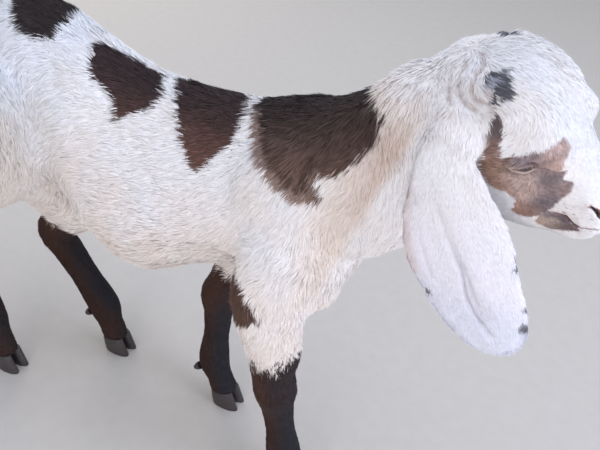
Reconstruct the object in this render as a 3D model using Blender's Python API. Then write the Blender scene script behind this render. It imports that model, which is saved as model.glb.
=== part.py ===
"""A life-size Nubian goat kid, walking slowly with its long ears hanging, parted as a museum model."""
import math

import bmesh
import bpy
from mathutils import Euler, Matrix, Vector

# Driving sizes of the whole kid, in metres. X runs from tail to nose, Y to its left, Z up.
seam = 0.0003            # clearance where two pieces meet
ringSides = 24           # points round each body ring
ringSteps = 4            # rings made between two named stations
voxel = 0.0022           # grain that melts the forms into one body
meltRounds = 6           # smoothing rounds after melting
blendRounds = 45         # further rounds on the trunk and neck, where limbs flow into them
crumb = 1e-8             # islands smaller than this volume are shavings, in cubic metres
bodyTriangles = 4900     # budget of the melted body

# The head is modelled about its poll in its own frame, then placed.
headScale = 1.02
pollPlace = Vector((0.195, -0.017, 0.471))
headTurn = Euler((math.radians(15.5), math.radians(17.5), 0.0), "XYZ")
headPlace = Matrix.Translation(pollPlace) @ headTurn.to_matrix().to_4x4() @ Matrix.Scale(headScale, 4)

eyeRadius = 0.0098
eyeCentre = Vector((0.057, 0.0262, -0.0130))     # left eye, head frame

hoofHeight = 0.021
clawWidth = 0.0125
clawGap = 0.0016

white = (0.86, 0.83, 0.80)
hornGrey = (0.05, 0.045, 0.045)
eyeBrown = (0.05, 0.03, 0.02)


def clearScene():
    for old in list(bpy.data.objects):
        bpy.data.objects.remove(old)


def material(name, colour, roughness):
    made = bpy.data.materials.get(name)
    if made is None:
        made = bpy.data.materials.new(name)
        made.use_nodes = True
        shader = made.node_tree.nodes["Principled BSDF"]
        shader.inputs["Base Color"].default_value = (*colour, 1.0)
        shader.inputs["Roughness"].default_value = roughness
        shader.inputs["Metallic"].default_value = 0.0
    return made


def addObject(name, mesh):
    made = bpy.data.objects.new(name, mesh)
    bpy.context.scene.collection.objects.link(made)
    return made


def helper(thing):
    """Marks a cutter or a guide, which is not a piece of the kid."""
    thing.hide_render = True
    thing.display_type = "WIRE"
    return thing


def smoothValue(values, i, t):
    """Catmull-Rom value between station i and i + 1."""
    a = values[max(i - 1, 0)]
    b = values[i]
    c = values[i + 1]
    d = values[min(i + 2, len(values) - 1)]
    return 0.5 * ((2 * b) + (c - a) * t + (2 * a - 5 * b + 4 * c - d) * t * t
                  + (3 * b - 3 * c + d - a) * t * t * t)


def fineStations(stations, steps):
    """Adds stations between the named ones. A station is (centre, halfWidth, rise, drop, taper)."""
    fine = []
    for i in range(len(stations) - 1):
        for k in range(steps):
            t = k / steps
            fine.append(tuple(smoothValue([s[j] for s in stations], i, t) for j in range(len(stations[0]))))
    fine.append(stations[-1])
    return fine


def powered(value, bulge):
    return math.copysign(abs(value) ** bulge, value)


def ringPoints(centre, tangent, upHint, halfWidth, rise, drop, taper, sides, bulge):
    """An egg-shaped ring square to the path: rise towards upHint, drop away from it, wider on top by taper."""
    side = upHint.cross(tangent).normalized()
    up = tangent.cross(side).normalized()
    points = []
    for k in range(sides):
        angle = 2 * math.pi * k / sides
        height = powered(math.sin(angle), bulge) * (rise if math.sin(angle) > 0 else drop)
        width = powered(math.cos(angle), bulge) * halfWidth * (1 + taper * math.sin(angle))
        points.append(centre + side * width + up * height)
    return points


def loft(name, stations, upHint, steps=ringSteps, sides=ringSides, bulge=1.0, place=None, along=None):
    """A closed form through egg-shaped rings, bridged ring to ring and capped at both ends."""
    fine = fineStations(stations, steps)
    centres = [s[0] for s in fine]
    form = bmesh.new()
    loops = []
    for i, (centre, halfWidth, rise, drop, taper) in enumerate(fine):
        tangent = along or (centres[min(i + 1, len(fine) - 1)] - centres[max(i - 1, 0)]).normalized()
        ring = [form.verts.new(p) for p in
                ringPoints(centre, tangent, upHint, halfWidth, rise, drop, taper, sides, bulge)]
        loops.append([form.edges.new((ring[k], ring[(k + 1) % sides])) for k in range(sides)])
    for first, second in zip(loops, loops[1:]):
        bmesh.ops.bridge_loops(form, edges=first + second)
    bmesh.ops.contextual_create(form, geom=loops[0])
    bmesh.ops.contextual_create(form, geom=loops[-1])
    bmesh.ops.recalc_face_normals(form, faces=form.faces)
    if place is not None:
        bmesh.ops.transform(form, matrix=place, verts=form.verts)
    mesh = bpy.data.meshes.new(name)
    form.to_mesh(mesh)
    form.free()
    return addObject(name, mesh)


def mound(name, centre, radii, place=None, turn=None):
    """An ellipsoid of flesh or bone that the melt takes into the body."""
    form = bmesh.new()
    shape = Matrix.Translation(Vector(centre))
    if turn is not None:
        shape = shape @ Euler(turn, "XYZ").to_matrix().to_4x4()
    shape = shape @ Matrix.Diagonal((*radii, 1.0))
    if place is not None:
        shape = place @ shape
    bmesh.ops.create_uvsphere(form, u_segments=20, v_segments=12, radius=1.0, matrix=shape)
    bmesh.ops.recalc_face_normals(form, faces=form.faces)
    mesh = bpy.data.meshes.new(name)
    form.to_mesh(mesh)
    form.free()
    return addObject(name, mesh)


def station(x, y, z, halfWidth, rise, drop, taper=0.0):
    return (Vector((x, y, z)), halfWidth, rise, drop, taper)


def trunkForm():
    """Rings from rump to brisket. The middle line of a ring is at the height of the widest part."""
    rows = (
        # x, back line, belly line, half width, wider on top
        (-0.214, 0.370, 0.320, 0.020, 0.10),
        (-0.204, 0.392, 0.296, 0.034, 0.10),
        (-0.180, 0.413, 0.276, 0.044, 0.05),
        (-0.145, 0.420, 0.262, 0.050, 0.00),
        (-0.100, 0.405, 0.234, 0.055, -0.10),
        (-0.060, 0.392, 0.209, 0.062, -0.18),
        (-0.020, 0.387, 0.207, 0.064, -0.18),
        (0.020, 0.389, 0.231, 0.059, -0.16),
        (0.055, 0.395, 0.244, 0.055, -0.10),
        (0.085, 0.406, 0.242, 0.052, -0.05),
        (0.112, 0.412, 0.246, 0.050, 0.00),
        (0.136, 0.390, 0.252, 0.045, 0.00),
        (0.149, 0.352, 0.268, 0.034, 0.00),
        (0.156, 0.334, 0.290, 0.020, 0.00),
    )
    stations = []
    for x, top, bottom, halfWidth, taper in rows:
        middle = bottom + 0.47 * (top - bottom)
        stations.append(station(x, 0.006, middle, halfWidth, top - middle, middle - bottom, taper))
    forms = [loft("trunkForm", stations, Vector((0, 0, 1)), along=Vector((1, 0, 0)))]
    for side in (-1, 1):
        forms.append(mound("breastForm", (0.126, side * 0.024, 0.283), (0.027, 0.027, 0.036)))
        forms.append(mound("bladeForm", (0.098, side * 0.034, 0.345), (0.040, 0.022, 0.052), turn=(0, 0.35, 0)))
        forms.append(mound("thighForm", (-0.160, side * 0.036, 0.320), (0.048, 0.026, 0.060), turn=(0, -0.3, 0)))
        forms.append(mound("flankFoldForm", (-0.112, side * 0.036, 0.250), (0.036, 0.012, 0.022), turn=(0, 0.3, 0)))
    return forms


def neckForm():
    stations = [
        station(0.070, 0.004, 0.330, 0.046, 0.062, 0.060),
        station(0.110, -0.001, 0.350, 0.045, 0.064, 0.070),
        station(0.146, -0.008, 0.380, 0.042, 0.051, 0.068),
        station(0.172, -0.014, 0.409, 0.038, 0.0435, 0.056),
        station(0.192, -0.018, 0.433, 0.035, 0.041, 0.045),
        station(0.212, -0.020, 0.446, 0.032, 0.029, 0.037),
    ]
    return [loft("neckForm", stations, Vector((-0.6, 0, 1)))]


def headForms():
    rows = (
        # x, crown line, jaw line, half width, wider on top, in the head frame
        (-0.014, -0.004, -0.046, 0.015, 0.00),
        (-0.005, 0.010, -0.056, 0.027, 0.05),
        (0.011, 0.0215, -0.067, 0.034, 0.14),
        (0.029, 0.0265, -0.077, 0.0380, 0.20),
        (0.046, 0.0240, -0.082, 0.0375, 0.18),
        (0.062, 0.0165, -0.082, 0.0335, 0.12),
        (0.076, 0.0080, -0.0800, 0.0290, 0.06),
        (0.090, -0.0015, -0.0745, 0.0242, 0.00),
        (0.102, -0.0115, -0.0675, 0.0205, 0.02),
        (0.113, -0.0225, -0.0640, 0.0175, -0.02),
        (0.121, -0.0325, -0.058, 0.0135, 0.00),
        (0.125, -0.0395, -0.052, 0.0070, 0.00),
    )
    stations = []
    for x, top, bottom, halfWidth, taper in rows:
        middle = 0.5 * (top + bottom)
        stations.append(station(x, 0.0, middle, halfWidth, top - middle, middle - bottom, taper))
    forms = [loft("skullForm", stations, Vector((0, 0, 1)), bulge=0.90, place=headPlace,
                  along=Vector((1, 0, 0)))]
    for side in (-1, 1):
        forms.append(mound("hornBudForm", (0.036, side * 0.0175, 0.0080), (0.032, 0.0190, 0.0165), headPlace))
        forms.append(mound("browForm", (0.061, side * 0.0235, -0.0010), (0.0210, 0.0125, 0.0135), headPlace))
        forms.append(mound("cheekForm", (0.046, side * 0.0185, -0.042), (0.030, 0.0150, 0.027), headPlace))
        forms.append(mound("lipForm", (0.1080, side * 0.0080, -0.0440), (0.0140, 0.0090, 0.0130), headPlace))
        forms.append(mound("earRootForm", (0.016, side * 0.028, -0.009), (0.015, 0.012, 0.014), headPlace))
    forms.append(mound("chinForm", (0.1070, 0.0, -0.0570), (0.0145, 0.0105, 0.0075), headPlace))
    return forms


def foreLeg(side, elbow, knee, fetlock, hoof, fluff=0.0):
    """Stations down a foreleg: X is the reach, and the rings lie square to the leg."""
    shoulder = Vector((0.116, side * 0.038, 0.338))
    upper = shoulder.lerp(elbow, 0.5)
    forearm = elbow.lerp(knee, 0.45)
    overKnee = elbow.lerp(knee, 0.80)
    underKnee = knee.lerp(fetlock, 0.24)
    cannon = knee.lerp(fetlock, 0.60)
    pastern = fetlock.lerp(hoof, 0.45)
    return [
        (shoulder, 0.012, 0.016, 0.018, 0.0),
        (upper, 0.0225, 0.030, 0.033, 0.0),
        (elbow, 0.0225, 0.032 + fluff, 0.030, 0.0),
        (forearm, 0.0195, 0.0250 + fluff, 0.0240, 0.0),
        (overKnee, 0.0180, 0.0200, 0.0200, 0.0),
        (knee, 0.0190, 0.0200, 0.0200, 0.0),
        (underKnee, 0.0148, 0.0155, 0.0160, 0.0),
        (cannon, 0.0130, 0.0135, 0.0145, 0.0),
        (fetlock, 0.0162, 0.0165, 0.0180, 0.0),
        (pastern, 0.0138, 0.0140, 0.0140, 0.0),
        (hoof, 0.0138, 0.0165, 0.0145, 0.0),
    ]


def hindLeg(side, stifle, hock, fetlock, hoof):
    hip = Vector((-0.150, side * 0.030, 0.360))
    thigh = Vector((-0.150, side * 0.036, 0.318))
    gaskin = stifle.lerp(hock, 0.50)
    overHock = stifle.lerp(hock, 0.82)
    underHock = hock.lerp(fetlock, 0.24)
    cannon = hock.lerp(fetlock, 0.60)
    pastern = fetlock.lerp(hoof, 0.45)
    return [
        (hip, 0.012, 0.024, 0.026, 0.0),
        (thigh, 0.0225, 0.042, 0.046, 0.0),
        (stifle, 0.0215, 0.033, 0.038, 0.0),
        (gaskin, 0.0180, 0.0200, 0.0230, 0.0),
        (overHock, 0.0160, 0.0178, 0.0200, 0.0),
        (hock, 0.0165, 0.0200, 0.0230, 0.0),
        (underHock, 0.0155, 0.0190, 0.0190, 0.0),
        (cannon, 0.0145, 0.0175, 0.0165, 0.0),
        (fetlock, 0.0170, 0.0185, 0.0195, 0.0),
        (pastern, 0.0140, 0.0145, 0.0145, 0.0),
        (hoof, 0.0138, 0.0165, 0.0145, 0.0),
    ]


# Joints of the four legs. The right fore and left hind feet are forward, as in a slow walk.
legs = {
    "foreleg_right": foreLeg(-1, Vector((0.101, -0.051, 0.260)), Vector((0.1145, -0.040, 0.158)),
                             Vector((0.125, -0.022, 0.058)), Vector((0.142, -0.020, 0.012)), 0.004),
    "foreleg_left": foreLeg(1, Vector((0.049, 0.049, 0.258)), Vector((0.009, 0.042, 0.152)),
                            Vector((0.007, 0.043, 0.058)), Vector((0.022, 0.044, 0.012))),
    "hindleg_right": hindLeg(-1, Vector((-0.154, -0.041, 0.284)), Vector((-0.248, -0.040, 0.182)),
                             Vector((-0.226, -0.040, 0.060)), Vector((-0.210, -0.040, 0.012))),
    "hindleg_left": hindLeg(1, Vector((-0.133, 0.044, 0.264)), Vector((-0.198, 0.040, 0.142)),
                            Vector((-0.142, 0.044, 0.060)), Vector((-0.126, 0.045, 0.012))),
}
legUp = Vector((1, 0, 0))

earSwing = {-1: 1.0, 1: 0.20}     # how far forward the right and left ears hang


def legForms():
    return [loft(name + "Form", stations, legUp) for name, stations in legs.items()]


def earStations(side, root):
    """The ear hangs from its root and swings forward; out is its distance from the cheek."""
    rows = (
        # forward, out, down, half width, half thickness
        (0.007, -0.014, 0.003, 0.0135, 0.0085),
        (0.003, 0.002, 0.002, 0.0155, 0.0078),
        (-0.001, 0.0090, 0.018, 0.0175, 0.0055),
        (0.003, 0.0125, 0.034, 0.0225, 0.0040),
        (0.0095, 0.0150, 0.052, 0.0300, 0.0034),
        (0.0195, 0.0180, 0.073, 0.0345, 0.0031),
        (0.0365, 0.0205, 0.096, 0.0312, 0.0029),
        (0.0550, 0.0222, 0.114, 0.0240, 0.0027),
        (0.0655, 0.0228, 0.1235, 0.0160, 0.0024),
        (0.0700, 0.0230, 0.1285, 0.0085, 0.0018),
    )
    swing = earSwing[side]
    return [station(root.x + forward * swing, root.y + side * out, root.z - down, halfWidth, thick, thick)
            for forward, out, down, halfWidth, thick in rows]


def earForm(side):
    root = headPlace @ Vector((0.018, side * 0.0340, -0.006)) + Vector((0, 0.004 * (1 + side), 0))
    name = "ear_right" if side < 0 else "ear_left"
    return loft(name, earStations(side, root), Vector((0, side, 0.05)), steps=2, sides=14, bulge=0.72)


def tailStations():
    return [
        station(-0.188, 0.008, 0.392, 0.015, 0.012, 0.014),
        station(-0.214, 0.009, 0.395, 0.014, 0.009, 0.010),
        station(-0.236, 0.010, 0.387, 0.013, 0.008, 0.009),
        station(-0.252, 0.012, 0.371, 0.0105, 0.007, 0.008),
        station(-0.262, 0.014, 0.352, 0.0055, 0.004, 0.005),
    ]


def bakedCopy(thing, name):
    """The mesh of an object with its modifiers applied."""
    graph = bpy.context.evaluated_depsgraph_get()
    mesh = bpy.data.meshes.new_from_object(thing.evaluated_get(graph))
    mesh.name = name
    return mesh


def ramp(value, low, high):
    return min(max((value - low) / (high - low), 0.0), 1.0)


def blendShare(point):
    """Full on the trunk and neck, none on the head, tail and lower legs."""
    share = ramp(point.z, 0.205, 0.250) * ramp(0.180 - point.x, 0.0, 0.020)
    return share * ramp(point.x + 0.222, 0.0, 0.012)


def meltedBody():
    """All forms joined, melted into one skin, smoothed and thinned to the triangle budget."""
    forms = trunkForm() + neckForm() + headForms() + legForms()
    forms.append(loft("tailForm", tailStations(), Vector((0, 0, 1))))
    joined = bmesh.new()
    for form in forms:
        joined.from_mesh(form.data)
        bpy.data.objects.remove(form)
    mesh = bpy.data.meshes.new("bodyForm")
    joined.to_mesh(mesh)
    joined.free()
    body = helper(addObject("bodyForm", mesh))
    melt = body.modifiers.new("melt", "REMESH")
    melt.mode = "VOXEL"
    melt.voxel_size = voxel
    soften = body.modifiers.new("soften", "SMOOTH")
    soften.factor = 0.5
    soften.iterations = meltRounds
    body.data = bakedCopy(body, "bodyFine")
    body.modifiers.clear()
    blendGroup = body.vertex_groups.new(name="blend")
    for vert in body.data.vertices:
        blendGroup.add([vert.index], blendShare(vert.co), "REPLACE")
    blend = body.modifiers.new("blend", "SMOOTH")
    blend.factor = 0.5
    blend.iterations = blendRounds
    blend.vertex_group = blendGroup.name
    body.data = bakedCopy(body, "bodyBlend")
    body.modifiers.clear()
    body.vertex_groups.clear()
    body.data.calc_loop_triangles()
    thin = body.modifiers.new("thin", "DECIMATE")
    thin.ratio = bodyTriangles / len(body.data.loop_triangles)
    thin.use_collapse_triangulate = True
    body.data = bakedCopy(body, "body")
    body.modifiers.clear()
    return body


def boolean(thing, operation, other):
    cut = thing.modifiers.new(operation.lower(), "BOOLEAN")
    cut.operation = operation
    cut.solver = "EXACT"
    cut.object = other
    return cut


def blade(name, centre, normal, breadth, height, thickness=seam):
    """A thin plate through centre, square to normal, breadth across Y and height along the cut."""
    form = bmesh.new()
    bmesh.ops.create_cube(form, size=1.0)
    along = Vector(normal).normalized()
    across = Vector((0, 1, 0))
    rise = along.cross(across).normalized()
    across = rise.cross(along).normalized()
    turn = Matrix((across, rise, along)).transposed().to_4x4()
    shape = Matrix.Translation(centre) @ turn @ Matrix.Diagonal((breadth, height, thickness, 1.0))
    bmesh.ops.transform(form, matrix=shape, verts=form.verts)
    mesh = bpy.data.meshes.new(name)
    form.to_mesh(mesh)
    form.free()
    return helper(addObject(name, mesh))


def ball(name, centre, radius, segments, rings):
    form = bmesh.new()
    bmesh.ops.create_uvsphere(form, u_segments=segments, v_segments=rings, radius=radius,
                              matrix=Matrix.Translation(centre))
    for face in form.faces:
        face.smooth = True
    mesh = bpy.data.meshes.new(name)
    form.to_mesh(mesh)
    form.free()
    return addObject(name, mesh)


def swollenCopy(thing, name, gap):
    """The same mesh grown by the gap, used to keep a neighbour clear of it."""
    mesh = thing.data.copy()
    mesh.name = name
    grown = helper(addObject(name, mesh))
    grow = grown.modifiers.new("grow", "DISPLACE")
    grow.strength = gap
    grow.mid_level = 0.0
    grown.data = bakedCopy(grown, name + "Mesh")
    grown.modifiers.clear()
    return grown


def islands(form):
    """Groups of vertices that hang together."""
    form.verts.index_update()
    seen = set()
    groups = []
    for start in form.verts:
        if start.index in seen:
            continue
        group = []
        waiting = [start]
        seen.add(start.index)
        while waiting:
            vert = waiting.pop()
            group.append(vert)
            for edge in vert.link_edges:
                other = edge.other_vert(vert)
                if other.index not in seen:
                    seen.add(other.index)
                    waiting.append(other)
        groups.append(group)
    return groups


def volumeOf(form):
    return form.calc_volume(signed=True)


def splitPieces(thing, seeds):
    """Each loose island becomes a piece, named after the seed point nearest to its middle."""
    whole = bmesh.new()
    whole.from_mesh(thing.data)
    groups = [{v.index for v in group} for group in islands(whole)]
    whole.free()
    pieces = {}
    for keep in groups:
        form = bmesh.new()
        form.from_mesh(thing.data)
        form.verts.ensure_lookup_table()
        bmesh.ops.delete(form, geom=[v for v in form.verts if v.index not in keep], context="VERTS")
        if abs(volumeOf(form)) < crumb:
            form.free()
            continue
        middle = sum((v.co for v in form.verts), Vector()) / len(form.verts)
        name = min(seeds, key=lambda k: (seeds[k] - middle).length)
        if name in pieces:
            raise ValueError("two islands claim " + name)
        for face in form.faces:
            face.smooth = True
        mesh = bpy.data.meshes.new(name)
        form.to_mesh(mesh)
        form.free()
        pieces[name] = addObject(name, mesh)
    bpy.data.objects.remove(thing)
    return pieces


def coronet(name):
    """Centre of the flat top of the hoof and the direction of the pastern there."""
    foot = legs[name][-1][0]
    down = (foot - legs[name][-2][0]).normalized()
    tilt = Vector((down.x * 0.55, 0, down.z)).normalized()
    return Vector((foot.x - 0.001, foot.y, hoofHeight)), tilt


def clawStations(top, tilt, side):
    """Rings of one claw from the coronet to the flat sole."""
    middle = side * (0.5 * clawWidth + 0.5 * clawGap)
    start = top + tilt * (2 * seam)
    rows = (
        # share of the way down, half width, half length, forward
        (0.0, 0.0060, 0.0125, 0.000),
        (0.5, 0.0064, 0.0142, 0.0030),
        (1.0, 0.0064, 0.0155, 0.0065),
    )
    return start, middle, rows


def claw(name, top, tilt, side):
    """A pointed claw: rounded heel, straight inner wall, blunt toe, cut flat below."""
    start, middle, rows = clawStations(top, tilt, side)
    form = bmesh.new()
    loops = []
    sides = 12
    for share, halfWidth, halfLength, forward in rows:
        ring = []
        for k in range(sides):
            angle = 2 * math.pi * k / sides
            ahead = math.cos(angle)
            aside = math.sin(angle)
            narrow = 1.0 - 0.38 * max(ahead, 0.0) ** 2
            x = start.x + forward + halfLength * powered(ahead, 0.85)
            y = start.y + middle + halfWidth * powered(aside, 0.75) * narrow
            slope = -(x - start.x) * tilt.x / tilt.z
            topZ = start.z + slope
            ring.append(form.verts.new((x, y, topZ * (1.0 - share))))
        loops.append([form.edges.new((ring[k], ring[(k + 1) % sides])) for k in range(sides)])
    for first, second in zip(loops, loops[1:]):
        bmesh.ops.bridge_loops(form, edges=first + second)
    bmesh.ops.contextual_create(form, geom=loops[0])
    bmesh.ops.contextual_create(form, geom=loops[-1])
    bmesh.ops.recalc_face_normals(form, faces=form.faces)
    mesh = bpy.data.meshes.new(name)
    form.to_mesh(mesh)
    form.free()
    return addObject(name, mesh)


def dewclaw(name, leg, side, clearOf):
    """A small horn cone behind the fetlock, standing clear of the leg's hair."""
    fetlock = legs[leg][-3][0]
    root = fetlock + Vector((-0.0130, side * 0.0075, -0.012))
    tip = root + Vector((-0.0062, side * 0.0010, -0.0060))
    stations = [
        (root, 0.0046, 0.0046, 0.0046, 0.0),
        (root.lerp(tip, 0.5), 0.0042, 0.0042, 0.0042, 0.0),
        (tip, 0.0022, 0.0022, 0.0022, 0.0),
    ]
    made = loft(name, stations, Vector((0, 0, 1)), steps=1, sides=10)
    boolean(made, "DIFFERENCE", clearOf)
    made.data = bakedCopy(made, name)
    made.modifiers.clear()
    return made


def main():
    clearScene()
    body = meltedBody()

    # The ears clear the head by a seam, and so do the dewclaws the legs.
    around = swollenCopy(body, "around", seam)
    made = {}
    for side in (-1, 1):
        ear = earForm(side)
        boolean(ear, "DIFFERENCE", around)
        ear.data = bakedCopy(ear, ear.name)
        ear.modifiers.clear()
        made[ear.name] = ear
    for leg in legs:
        for side, word in ((-1, "outer"), (1, "inner")):
            name = leg.replace("leg", "_dewclaw") + "_" + word
            made[name] = dewclaw(name, leg, side, around)

    # Thin cuts between the pieces, and flat coronets over the hooves.
    cutters = [
        blade("headCut", (0.1865, -0.018, 0.440), (0.995, 0.0, 0.10), 0.20, 0.24),
        blade("neckCut", (0.137, 0.0, 0.355), (0.95, 0.0, 0.32), 0.22, 0.26),
        blade("tailCut", (-0.2135, 0.009, 0.395), (-1.0, 0.0, 0.10), 0.05, 0.036),
    ]
    for name, below in (("foreleg_right", 0.034), ("foreleg_left", 0.056)):
        elbow = legs[name][2][0]
        middle = elbow.lerp(legs[name][5][0], 0.4)
        cutters.append(blade(name + "Cut", Vector((middle.x, middle.y, elbow.z - below)), (0.0, 0.0, 1.0),
                             0.072, 0.085))
    for name in ("hindleg_right", "hindleg_left"):
        stifle = legs[name][2][0]
        cutters.append(blade(name + "Cut", stifle + Vector((-0.018, 0, -0.026)), (0.5, 0.0, 0.86), 0.074, 0.135))
    for name in legs:
        top, tilt = coronet(name)
        form = blade(name + "Foot", top + tilt * 0.02, tilt, 0.06, 0.08, 0.04)
        cutters.append(form)
    for side in (-1, 1):
        centre = headPlace @ Vector((eyeCentre.x, side * eyeCentre.y, eyeCentre.z))
        socket = helper(ball("socket", centre, eyeRadius * headScale + seam, 16, 10))
        cutters.append(socket)
    for cutter in cutters:
        boolean(body, "DIFFERENCE", cutter)
    body.data = bakedCopy(body, "cut")
    body.modifiers.clear()
    for cutter in cutters + [around]:
        bpy.data.objects.remove(cutter)

    seeds = {
        "trunk": Vector((-0.03, 0.0, 0.33)),
        "neck": Vector((0.16, -0.01, 0.40)),
        "head": headPlace @ Vector((0.055, 0, -0.025)),
        "tail": Vector((-0.24, 0.01, 0.37)),
    }
    for name, stations in legs.items():
        seeds[name] = stations[5][0].lerp(stations[8][0], 0.4)
    made.update(splitPieces(body, seeds))

    for side, word in ((-1, "right"), (1, "left")):
        centre = headPlace @ Vector((eyeCentre.x, side * eyeCentre.y, eyeCentre.z))
        name = "eye_" + word
        made[name] = ball(name, centre, eyeRadius * headScale, 16, 10)
    for leg in legs:
        top, tilt = coronet(leg)
        for side, word in ((-1, "a"), (1, "b")):
            name = leg.replace("leg", "_claw") + "_" + word
            made[name] = claw(name, top, tilt, side)

    coat = material("coat", white, 0.9)
    horn = material("horn", hornGrey, 0.5)
    eye = material("eye", eyeBrown, 0.15)
    for name, piece in made.items():
        piece.data.materials.clear()
        kind = eye if name.startswith("eye") else horn if "claw" in name else coat
        piece.data.materials.append(kind)

    # The origin goes to the middle of the foot print of the whole, at floor level.
    points = [v.co for piece in made.values() for v in piece.data.vertices]
    low = Vector((min(p[i] for p in points) for i in range(3)))
    high = Vector((max(p[i] for p in points) for i in range(3)))
    shift = Vector((-(low.x + high.x) / 2, -(low.y + high.y) / 2, -low.z))
    for piece in made.values():
        piece.data.transform(Matrix.Translation(shift))
    return shift


restShift = main()
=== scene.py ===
import math

import bmesh
import bpy
import numpy as np
from mathutils import Euler, Matrix, Vector
from mathutils.bvhtree import BVHTree


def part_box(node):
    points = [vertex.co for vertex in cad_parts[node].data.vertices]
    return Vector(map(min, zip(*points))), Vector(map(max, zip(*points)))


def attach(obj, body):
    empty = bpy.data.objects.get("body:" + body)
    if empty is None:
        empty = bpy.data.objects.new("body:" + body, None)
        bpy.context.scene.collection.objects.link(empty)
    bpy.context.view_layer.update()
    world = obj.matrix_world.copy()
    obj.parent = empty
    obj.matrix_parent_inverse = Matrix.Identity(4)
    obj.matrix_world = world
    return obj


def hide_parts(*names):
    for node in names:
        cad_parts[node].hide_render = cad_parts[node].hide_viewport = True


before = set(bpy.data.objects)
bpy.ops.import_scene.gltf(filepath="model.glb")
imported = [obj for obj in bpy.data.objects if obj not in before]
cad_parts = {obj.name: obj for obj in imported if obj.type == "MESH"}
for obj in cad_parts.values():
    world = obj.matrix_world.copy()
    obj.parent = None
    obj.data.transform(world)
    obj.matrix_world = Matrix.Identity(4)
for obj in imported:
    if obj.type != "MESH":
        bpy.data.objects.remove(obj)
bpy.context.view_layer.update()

rng = np.random.default_rng(11)

# Small helpers for numbers, colours and objects

def ramp(value, low, high):
    # 0 below low, 1 above high, smooth between
    t = np.clip((value - low) / (high - low), 0.0, 1.0)
    return t * t * (3 - 2 * t)


def hexColour(text):
    # sRGB hex to linear red, green and blue
    parts = [int(text[i:i + 2], 16) / 255 for i in (1, 3, 5)]
    return np.array([c / 12.92 if c <= 0.04045 else ((c + 0.055) / 1.055) ** 2.4 for c in parts])


def unit(vectors):
    return vectors / np.maximum(np.linalg.norm(vectors, axis=-1, keepdims=True), 1e-9)


def mix(a, b, share):
    share = np.asarray(share)[..., None]
    return a * (1 - share) + b * share


def waves(points, size, seed, terms=9):
    # A smooth wandering value near -1..1, with features of the given size in metres
    draw = np.random.default_rng(seed)
    turns = unit(draw.normal(size=(terms, 3))) * (2 * math.pi / size) * draw.uniform(0.6, 1.5, (terms, 1))
    starts = draw.uniform(0, 2 * math.pi, terms)
    total = np.zeros(len(points))
    for turn, start in zip(turns, starts):
        total += np.sin(points @ turn + start)
    return total / math.sqrt(terms)


def toObject(name, form):
    mesh = bpy.data.meshes.new(name)
    form.to_mesh(mesh)
    form.free()
    made = bpy.data.objects.new(name, mesh)
    bpy.context.scene.collection.objects.link(made)
    return made


def shadeSmooth(mesh):
    mesh.polygons.foreach_set("use_smooth", np.ones(len(mesh.polygons), bool))


def applied(thing):
    # Applies the modifiers of an object to its mesh
    graph = bpy.context.evaluated_depsgraph_get()
    mesh = bpy.data.meshes.new_from_object(thing.evaluated_get(graph))
    old = thing.data
    thing.modifiers.clear()
    thing.data = mesh
    bpy.data.meshes.remove(old)
    return mesh


def meshArrays(mesh):
    # Vertex places and triangle corners as arrays
    places = np.empty(len(mesh.vertices) * 3, np.float32)
    mesh.vertices.foreach_get("co", places)
    mesh.calc_loop_triangles()
    corners = np.empty(len(mesh.loop_triangles) * 3, np.int32)
    mesh.loop_triangles.foreach_get("vertices", corners)
    return places.reshape(-1, 3).astype(float), corners.reshape(-1, 3)


def pointNormals(places, corners):
    a, b, c = (places[corners[:, k]] for k in range(3))
    across = np.cross(b - a, c - a)
    total = np.zeros_like(places)
    for k in range(3):
        for axis in range(3):
            total[:, axis] += np.bincount(corners[:, k], across[:, axis], len(places))
    return unit(total)


def edgePairs(corners):
    pairs = np.concatenate([corners[:, (0, 1)], corners[:, (1, 2)], corners[:, (2, 0)]])
    return np.unique(np.sort(pairs, axis=1), axis=0)


def spread(values, pairs, rounds):
    # Averages each point's value with its neighbours'
    values = np.array(values, float)
    flat = values.reshape(len(values), -1)
    count = np.bincount(pairs.ravel(), minlength=len(flat)).astype(float) + 1
    for _ in range(rounds):
        fresh = flat.copy()
        for axis in range(flat.shape[1]):
            fresh[:, axis] += np.bincount(pairs[:, 0], flat[pairs[:, 1], axis], len(flat))
            fresh[:, axis] += np.bincount(pairs[:, 1], flat[pairs[:, 0], axis], len(flat))
        flat = fresh / count[:, None]
    return flat.reshape(values.shape)


def lineDistance(points, line):
    # Distance to a broken line, and how far along it the nearest place is, from 0 to 1
    line = np.asarray(line, float)
    best = np.full(len(points), 1e9)
    along = np.zeros(len(points))
    for i, (a, b) in enumerate(zip(line, line[1:])):
        step = b - a
        t = np.clip((points - a) @ step / (step @ step), 0, 1)
        far = np.linalg.norm(points - a - t[:, None] * step, axis=1)
        closer = far < best
        best[closer] = far[closer]
        along[closer] = (i + t[closer]) / (len(line) - 1)
    return best, along


def insideBy(flat, outline):
    # How far inside a closed outline each point lies; negative outside
    outline = np.asarray(outline, float)
    inside = np.zeros(len(flat), bool)
    for a, b in zip(outline, np.roll(outline, -1, axis=0)):
        crosses = (a[1] > flat[:, 1]) != (b[1] > flat[:, 1])
        with np.errstate(divide="ignore", invalid="ignore"):
            at = (b[0] - a[0]) * (flat[:, 1] - a[1]) / (b[1] - a[1]) + a[0]
        inside ^= crosses & (flat[:, 0] < at)
    far, _ = lineDistance(flat, np.vstack([outline, outline[:1]]))
    return np.where(inside, far, -far)


def addNode(tree, kind, inputs=None, **settings):
    # Adds a node; an input is a value or the output that feeds it
    node = tree.nodes.new(kind)
    for key, value in settings.items():
        setattr(node, key, value)
    for key, value in (inputs or {}).items():
        if isinstance(value, bpy.types.NodeSocket):
            tree.links.new(value, node.inputs[key])
        else:
            node.inputs[key].default_value = value
    return node


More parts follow.
